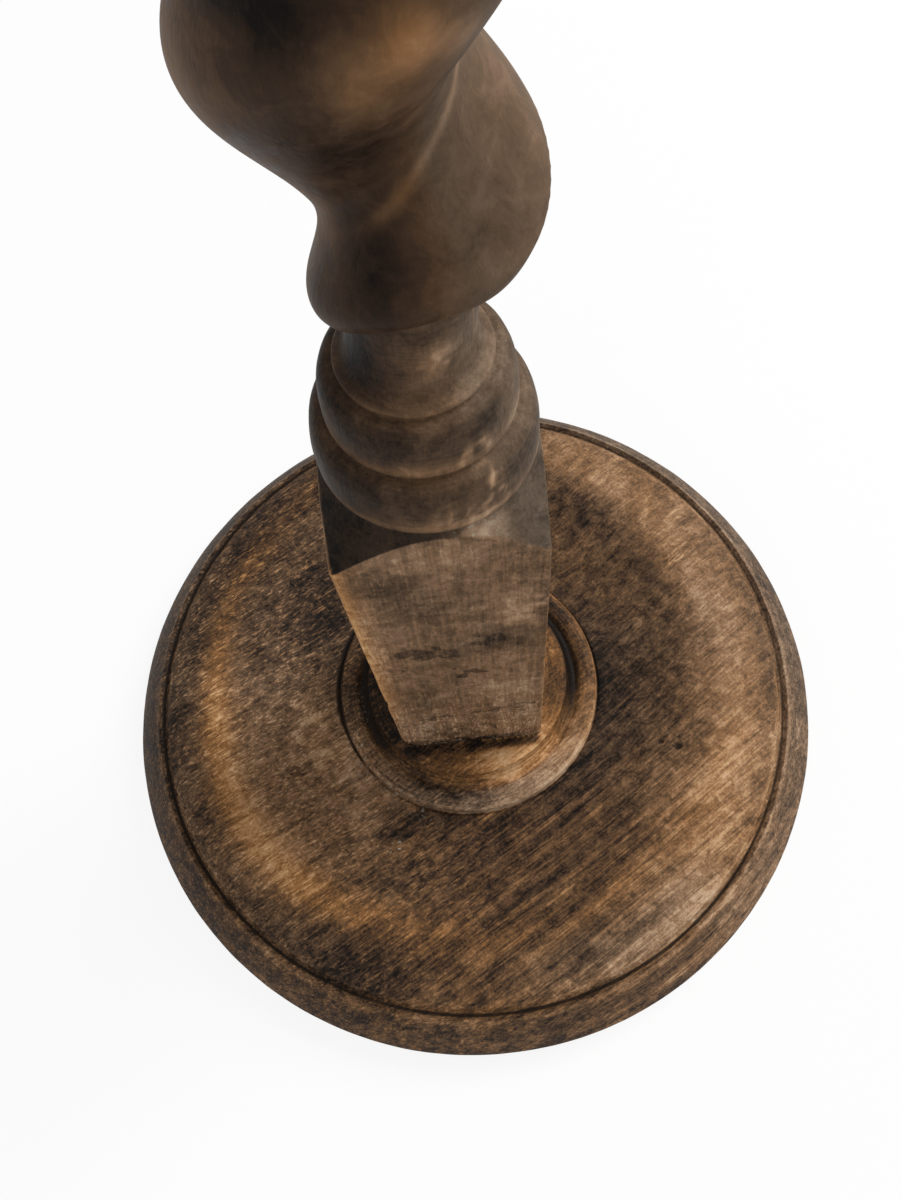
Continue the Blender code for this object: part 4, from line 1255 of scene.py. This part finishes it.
CLEAT_WEAR = (CLEAT_RADIUS - 0.003, CLEAT_RADIUS)
CLEAT_DIRT = (SEAT_RADIUS + 0.001, 0.0025)
SCREW_DIRT = (SCREW_HEAD_RADIUS, 0.0016)
TOP_STAINS = (
    (30, 20, 50, 30, 20, 6), (-60, -40, 40, 18, 15, -10), (60, -70, 30, 12, 30, -8),
    (-30, 80, 35, 14, 10, -9),
)


def screw_profile(grow, overrun):
    """Section of a screw with its head at the origin and its point up; grow makes its hole."""
    head = SCREW_HEAD_RADIUS + grow
    shank = SCREW_SHANK_RADIUS + grow
    core = SCREW_CORE_RADIUS + grow
    thread_start = TOP_FOOT - FLANGE_FOOT
    return [
        (SCREW_TIP_RADIUS, SCREW_LENGTH + grow),
        (core, SCREW_LENGTH - SCREW_TIP_LENGTH + grow),
        (core, thread_start),
        (shank, thread_start - FIT_GAP),
        (shank, SCREW_HEAD_LAND + SCREW_HEAD_RADIUS - SCREW_SHANK_RADIUS),
        (head, SCREW_HEAD_LAND),
        (head, -overrun),
        (SCREW_TIP_RADIUS, -overrun),
    ]


def screw_places():
    """Number and place of each screw."""
    for index in range(SCREW_COUNT):
        angle = 2 * math.pi * (index + 0.5) / SCREW_COUNT
        place = (SCREW_CIRCLE * math.cos(angle), SCREW_CIRCLE * math.sin(angle), FLANGE_FOOT)
        yield index + 1, Vector(place)


def screw_hole_cutters():
    profile = np.array(screw_profile(FIT_GAP, CUT_OVERRUN))
    cutters = []
    for number, place in screw_places():
        cutter = grid_mesh(f"screw_hole_{number}", revolve(profile, SCREW_STEPS))
        cutter.transform(Matrix.Translation(place))
        cutters.append(cutter)
    return cutters


def cleat_profile():
    cove = (SEAT_RADIUS + CLEAT_COVE, FLANGE_FOOT - CLEAT_COVE)
    edge = (CLEAT_RADIUS - CLEAT_EDGE, FLANGE_FOOT + CLEAT_EDGE)
    points = [(MORTISE_RADIUS, CLEAT_TOP), (CLEAT_RADIUS, CLEAT_TOP)]
    points += ellipse(edge, CLEAT_EDGE, CLEAT_EDGE, 0, -90)
    points += ellipse(cove, CLEAT_COVE, CLEAT_COVE, 90, 180)
    points += [(SEAT_RADIUS, CLEAT_FOOT), (MORTISE_RADIUS, CLEAT_FOOT)]
    return worn_profile(points)


def make_cleat():
    blank = grid_mesh("turned_cleat", revolve(cleat_profile(), CLEAT_STEPS), wrap_rows=True)
    mesh = cut_mesh(blank, screw_hole_cutters())
    points = mesh_points(mesh)
    radius, _ = around_axis(points)
    tone = 0.34 + 0.16 * smooth_step(radius, *CLEAT_WEAR)
    grime = 0.55 * ridge(radius, *CLEAT_DIRT)
    for _, place in screw_places():
        from_screw = np.hypot(points[:, 0] - place.x, points[:, 1] - place.y)
        grime += 0.5 * ridge(from_screw, *SCREW_DIRT)
    even = np.ones_like(radius)
    paint(mesh, tone=tone, haze=0.2 * even, grime=grime, streak=0.3 * even, fleck=0.4 * even)
    paint(mesh, turned=0.6 * even, crisp=0.8 * even)
    material = stained_beech("cleat_stained_beech", TOP_GRAIN_CENTRE, roughness=0.62)
    add_piece("turned_cleat", mesh, material, "top_cleat")


def top_profile():
    """Section of the top, from near the middle of its face round the edge to its underside."""
    roll_level = TOP_FACE - TOP_ROLL_HEIGHT
    points = [(TOP_MIDDLE, TOP_FACE), (TOP_ROLL_INNER - TOP_QUIRK_WIDTH, TOP_FACE)]
    points.append((TOP_QUIRK, TOP_FACE - TOP_QUIRK_DEPTH))
    points += ellipse((TOP_ROLL_INNER, roll_level), TOP_ROLL_WIDTH, TOP_ROLL_HEIGHT, 90, 0)
    undercut = (TOP_RADIUS - TOP_UNDERCUT, roll_level)
    points += ellipse(undercut, TOP_UNDERCUT, roll_level - TOP_FOOT, -5, -90)
    points.append((TOP_MIDDLE, TOP_FOOT))
    return worn_profile(points)


def paint_top(mesh):
    points = mesh_points(mesh)
    x, y, z = points.T
    radius, angle = around_axis(points)
    on_face = smooth_step(z, *TOP_FACE_START)
    below = 1 - smooth_step(z, *TOP_UNDERSIDE_END)
    on_roll = smooth_step(radius, *TOP_ROLL_START)
    edge = ridge(radius, *TOP_EDGE) * (1 - below)
    tone = 0.44 + by_angle(angle, TOP_WEAR) * edge + spots(x, y, TOP_STAINS) * on_face - 0.10 * below
    haze = 0.30 * on_face + 0.1
    for ring_x, ring_y, ring_radius in POT_RINGS:
        from_ring = np.hypot(x - ring_x, y - ring_y)
        tone -= 0.12 * ridge(from_ring, ring_radius, POT_RING_HALF) * on_face
        haze += 0.25 * ridge(from_ring, ring_radius - POT_HAZE_HALF, POT_HAZE_HALF) * on_face
    even = np.ones_like(radius)
    paint(
        mesh,
        tone=tone,
        haze=haze,
        grime=0.85 * ridge(radius, *TOP_DIRT) * (1 - below),
        streak=0.6 * even,
        fleck=0.6 * even,
        turned=0.12 + 0.5 * on_roll + 0.3 * below,
        crisp=1 - 0.4 * on_roll,
    )


def make_top():
    points = revolve(top_profile(), TOP_STEPS)
    free = smooth_step(points[..., 2], TOP_FOOT, TOP_FOOT + JOINT_MARGIN)
    depth = sum(unevenness(points, *layer) for layer in TOP_UNEVENNESS)
    mesh = cut_mesh(grid_mesh("stained_top", sunk_in(points, depth * free)), screw_hole_cutters())
    paint_top(mesh)
    material = stained_beech("top_stained_beech", TOP_GRAIN_CENTRE, roughness=0.58, sheen=0.08)
    add_piece("stained_top", mesh, material, "top")


def slot_cutter():
    reach = 2 * SCREW_HEAD_RADIUS
    half = SLOT_WIDTH / 2
    levels = (-CUT_OVERRUN, SLOT_DEPTH)
    corners = [(x, y, z) for x in (-reach, reach) for y in (-half, half) for z in levels]
    sides = [(0, 1, 3, 2), (4, 6, 7, 5), (0, 4, 5, 1), (2, 3, 7, 6), (0, 2, 6, 4), (1, 5, 7, 3)]
    return new_mesh("slot", corners, sides)


def make_screws():
    material = tarnished_steel("screw_tarnished_steel")
    shaft = screw_profile(0.0, 0.0)[:-2]
    dome = [(SCREW_HEAD_RADIUS, SCREW_HEAD_DOME)]
    width = SCREW_HEAD_RADIUS - SCREW_TIP_RADIUS
    dome += ellipse((0, SCREW_HEAD_DOME), width, SCREW_HEAD_DOME, -20, -88, 8)
    profile = worn_profile(shaft + dome, wear=SCREW_WEAR, longest=LONGEST_SCREW_ROW)
    for number, place in screw_places():
        blank = grid_mesh(f"slotted_screw_{number}", revolve(profile, SCREW_STEPS))
        mesh = cut_mesh(blank, [slot_cutter()])
        mesh.set_sharp_from_angle(angle=SHARP_ANGLE)
        turn = Matrix.Rotation(math.radians(SCREW_TURN * number), 4, "Z")
        mesh.transform(Matrix.Translation(place) @ turn)
        add_piece(f"slotted_screw_{number}", mesh, material, f"cleat_screw_{number}")


def finish_wedges():
    material = bare_beech("wedge_bare_beech")
    for name in ("lower_tenon_wedge", "upper_tenon_wedge"):
        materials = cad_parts[name].data.materials
        materials.clear()
        materials.append(material)


# Floor, light and camera

FLOOR_SIZE = 12.0
FLOOR_DROP = 0.0003
FLOOR_COLOUR = (0.88, 0.88, 0.88, 1.0)
FLOOR_GLOW_SHARE = 0.88
FILL_STRENGTH = 0.42
# Soft round lamps, each a name, place, point that it faces, width and power
LAMPS = (
    ("key", (1.55, 0.85, 1.75), (0, 0, 0.1), 1.3, 48),
    ("front_fill", (-0.5, -1.9, 1.5), (0, 0, 0.3), 1.6, 9),
)
PHOTO_HEIGHT = 1200  # pixels
FOCAL_PIXELS = 981.12
SENSOR_WIDTH = 36.0
NEAREST_SEEN = 0.005
CAMERA_PLACE = (0.00587, -0.12676, 0.40945)
CAMERA_TURNS = (0.0567, 0.4039, -0.1555)  # about Z, then X, then Z


def seen_share(shading):
    """1 for rays that show a surface to the camera, straight on or by reflection, and 0 for others."""
    rays = shading.add("ShaderNodeLightPath").outputs
    share = shading.math("MAXIMUM", rays["Is Camera Ray"], rays["Is Glossy Ray"])
    return shading.math("MAXIMUM", share, rays["Is Transmission Ray"])


def make_floor():
    half = FLOOR_SIZE / 2
    corners = [(x * half, y * half, -FLOOR_DROP) for x, y in ((-1, -1), (1, -1), (1, 1), (-1, 1))]
    mesh = new_mesh("floor", corners, [(0, 1, 2, 3)])
    floor = add_object("floor", mesh)
    pale = Shading(bpy.data.materials.new("pale_floor"))
    pale.nodes.remove(pale.nodes["Principled BSDF"])
    matt = pale.add("ShaderNodeBsdfDiffuse", FLOOR_COLOUR).outputs[0]
    glow = pale.add("ShaderNodeEmission", WHITE, 1.0).outputs[0]
    share = pale.times(seen_share(pale), FLOOR_GLOW_SHARE)
    surface = pale.add("ShaderNodeMixShader", share, matt, glow).outputs[0]
    pale.put(pale.nodes["Material Output"].inputs["Surface"], surface)
    mesh.materials.append(pale.owner)


def make_world():
    world = bpy.data.worlds.new("studio")
    bpy.context.scene.world = world
    sky = Shading(world)
    strength = sky.add("ShaderNodeMapRange", seen_share(sky), 0.0, 1.0, FILL_STRENGTH, 1.0).outputs[0]
    sky.fill(sky.nodes["Background"], {"Color": WHITE, "Strength": strength})


def make_lamps():
    for name, place, aim, width, power in LAMPS:
        light = bpy.data.lights.new(name, "AREA")
        light.shape = "DISK"
        light.size = width
        light.energy = power
        lamp = add_object(name, light)
        lamp.location = place
        lamp.rotation_euler = (Vector(aim) - Vector(place)).to_track_quat("-Z", "Y").to_euler()


def make_camera():
    camera = bpy.data.cameras.new("camera")
    camera.sensor_width = SENSOR_WIDTH
    camera.lens = SENSOR_WIDTH * FOCAL_PIXELS / PHOTO_HEIGHT
    camera.clip_start = NEAREST_SEEN
    turn = Matrix.Identity(3)
    for axis, amount in zip("ZXZ", CAMERA_TURNS):
        turn = turn @ Matrix.Rotation(amount, 3, axis)
    holder = add_object("camera", camera)
    holder.matrix_world = Matrix.Translation(CAMERA_PLACE) @ turn.to_4x4()
    bpy.context.scene.camera = holder


bpy.context.scene.view_settings.view_transform = "Standard"
make_base()
make_column()
make_cleat()
make_top()
make_screws()
finish_wedges()
make_floor()
make_world()
make_lamps()
make_camera()
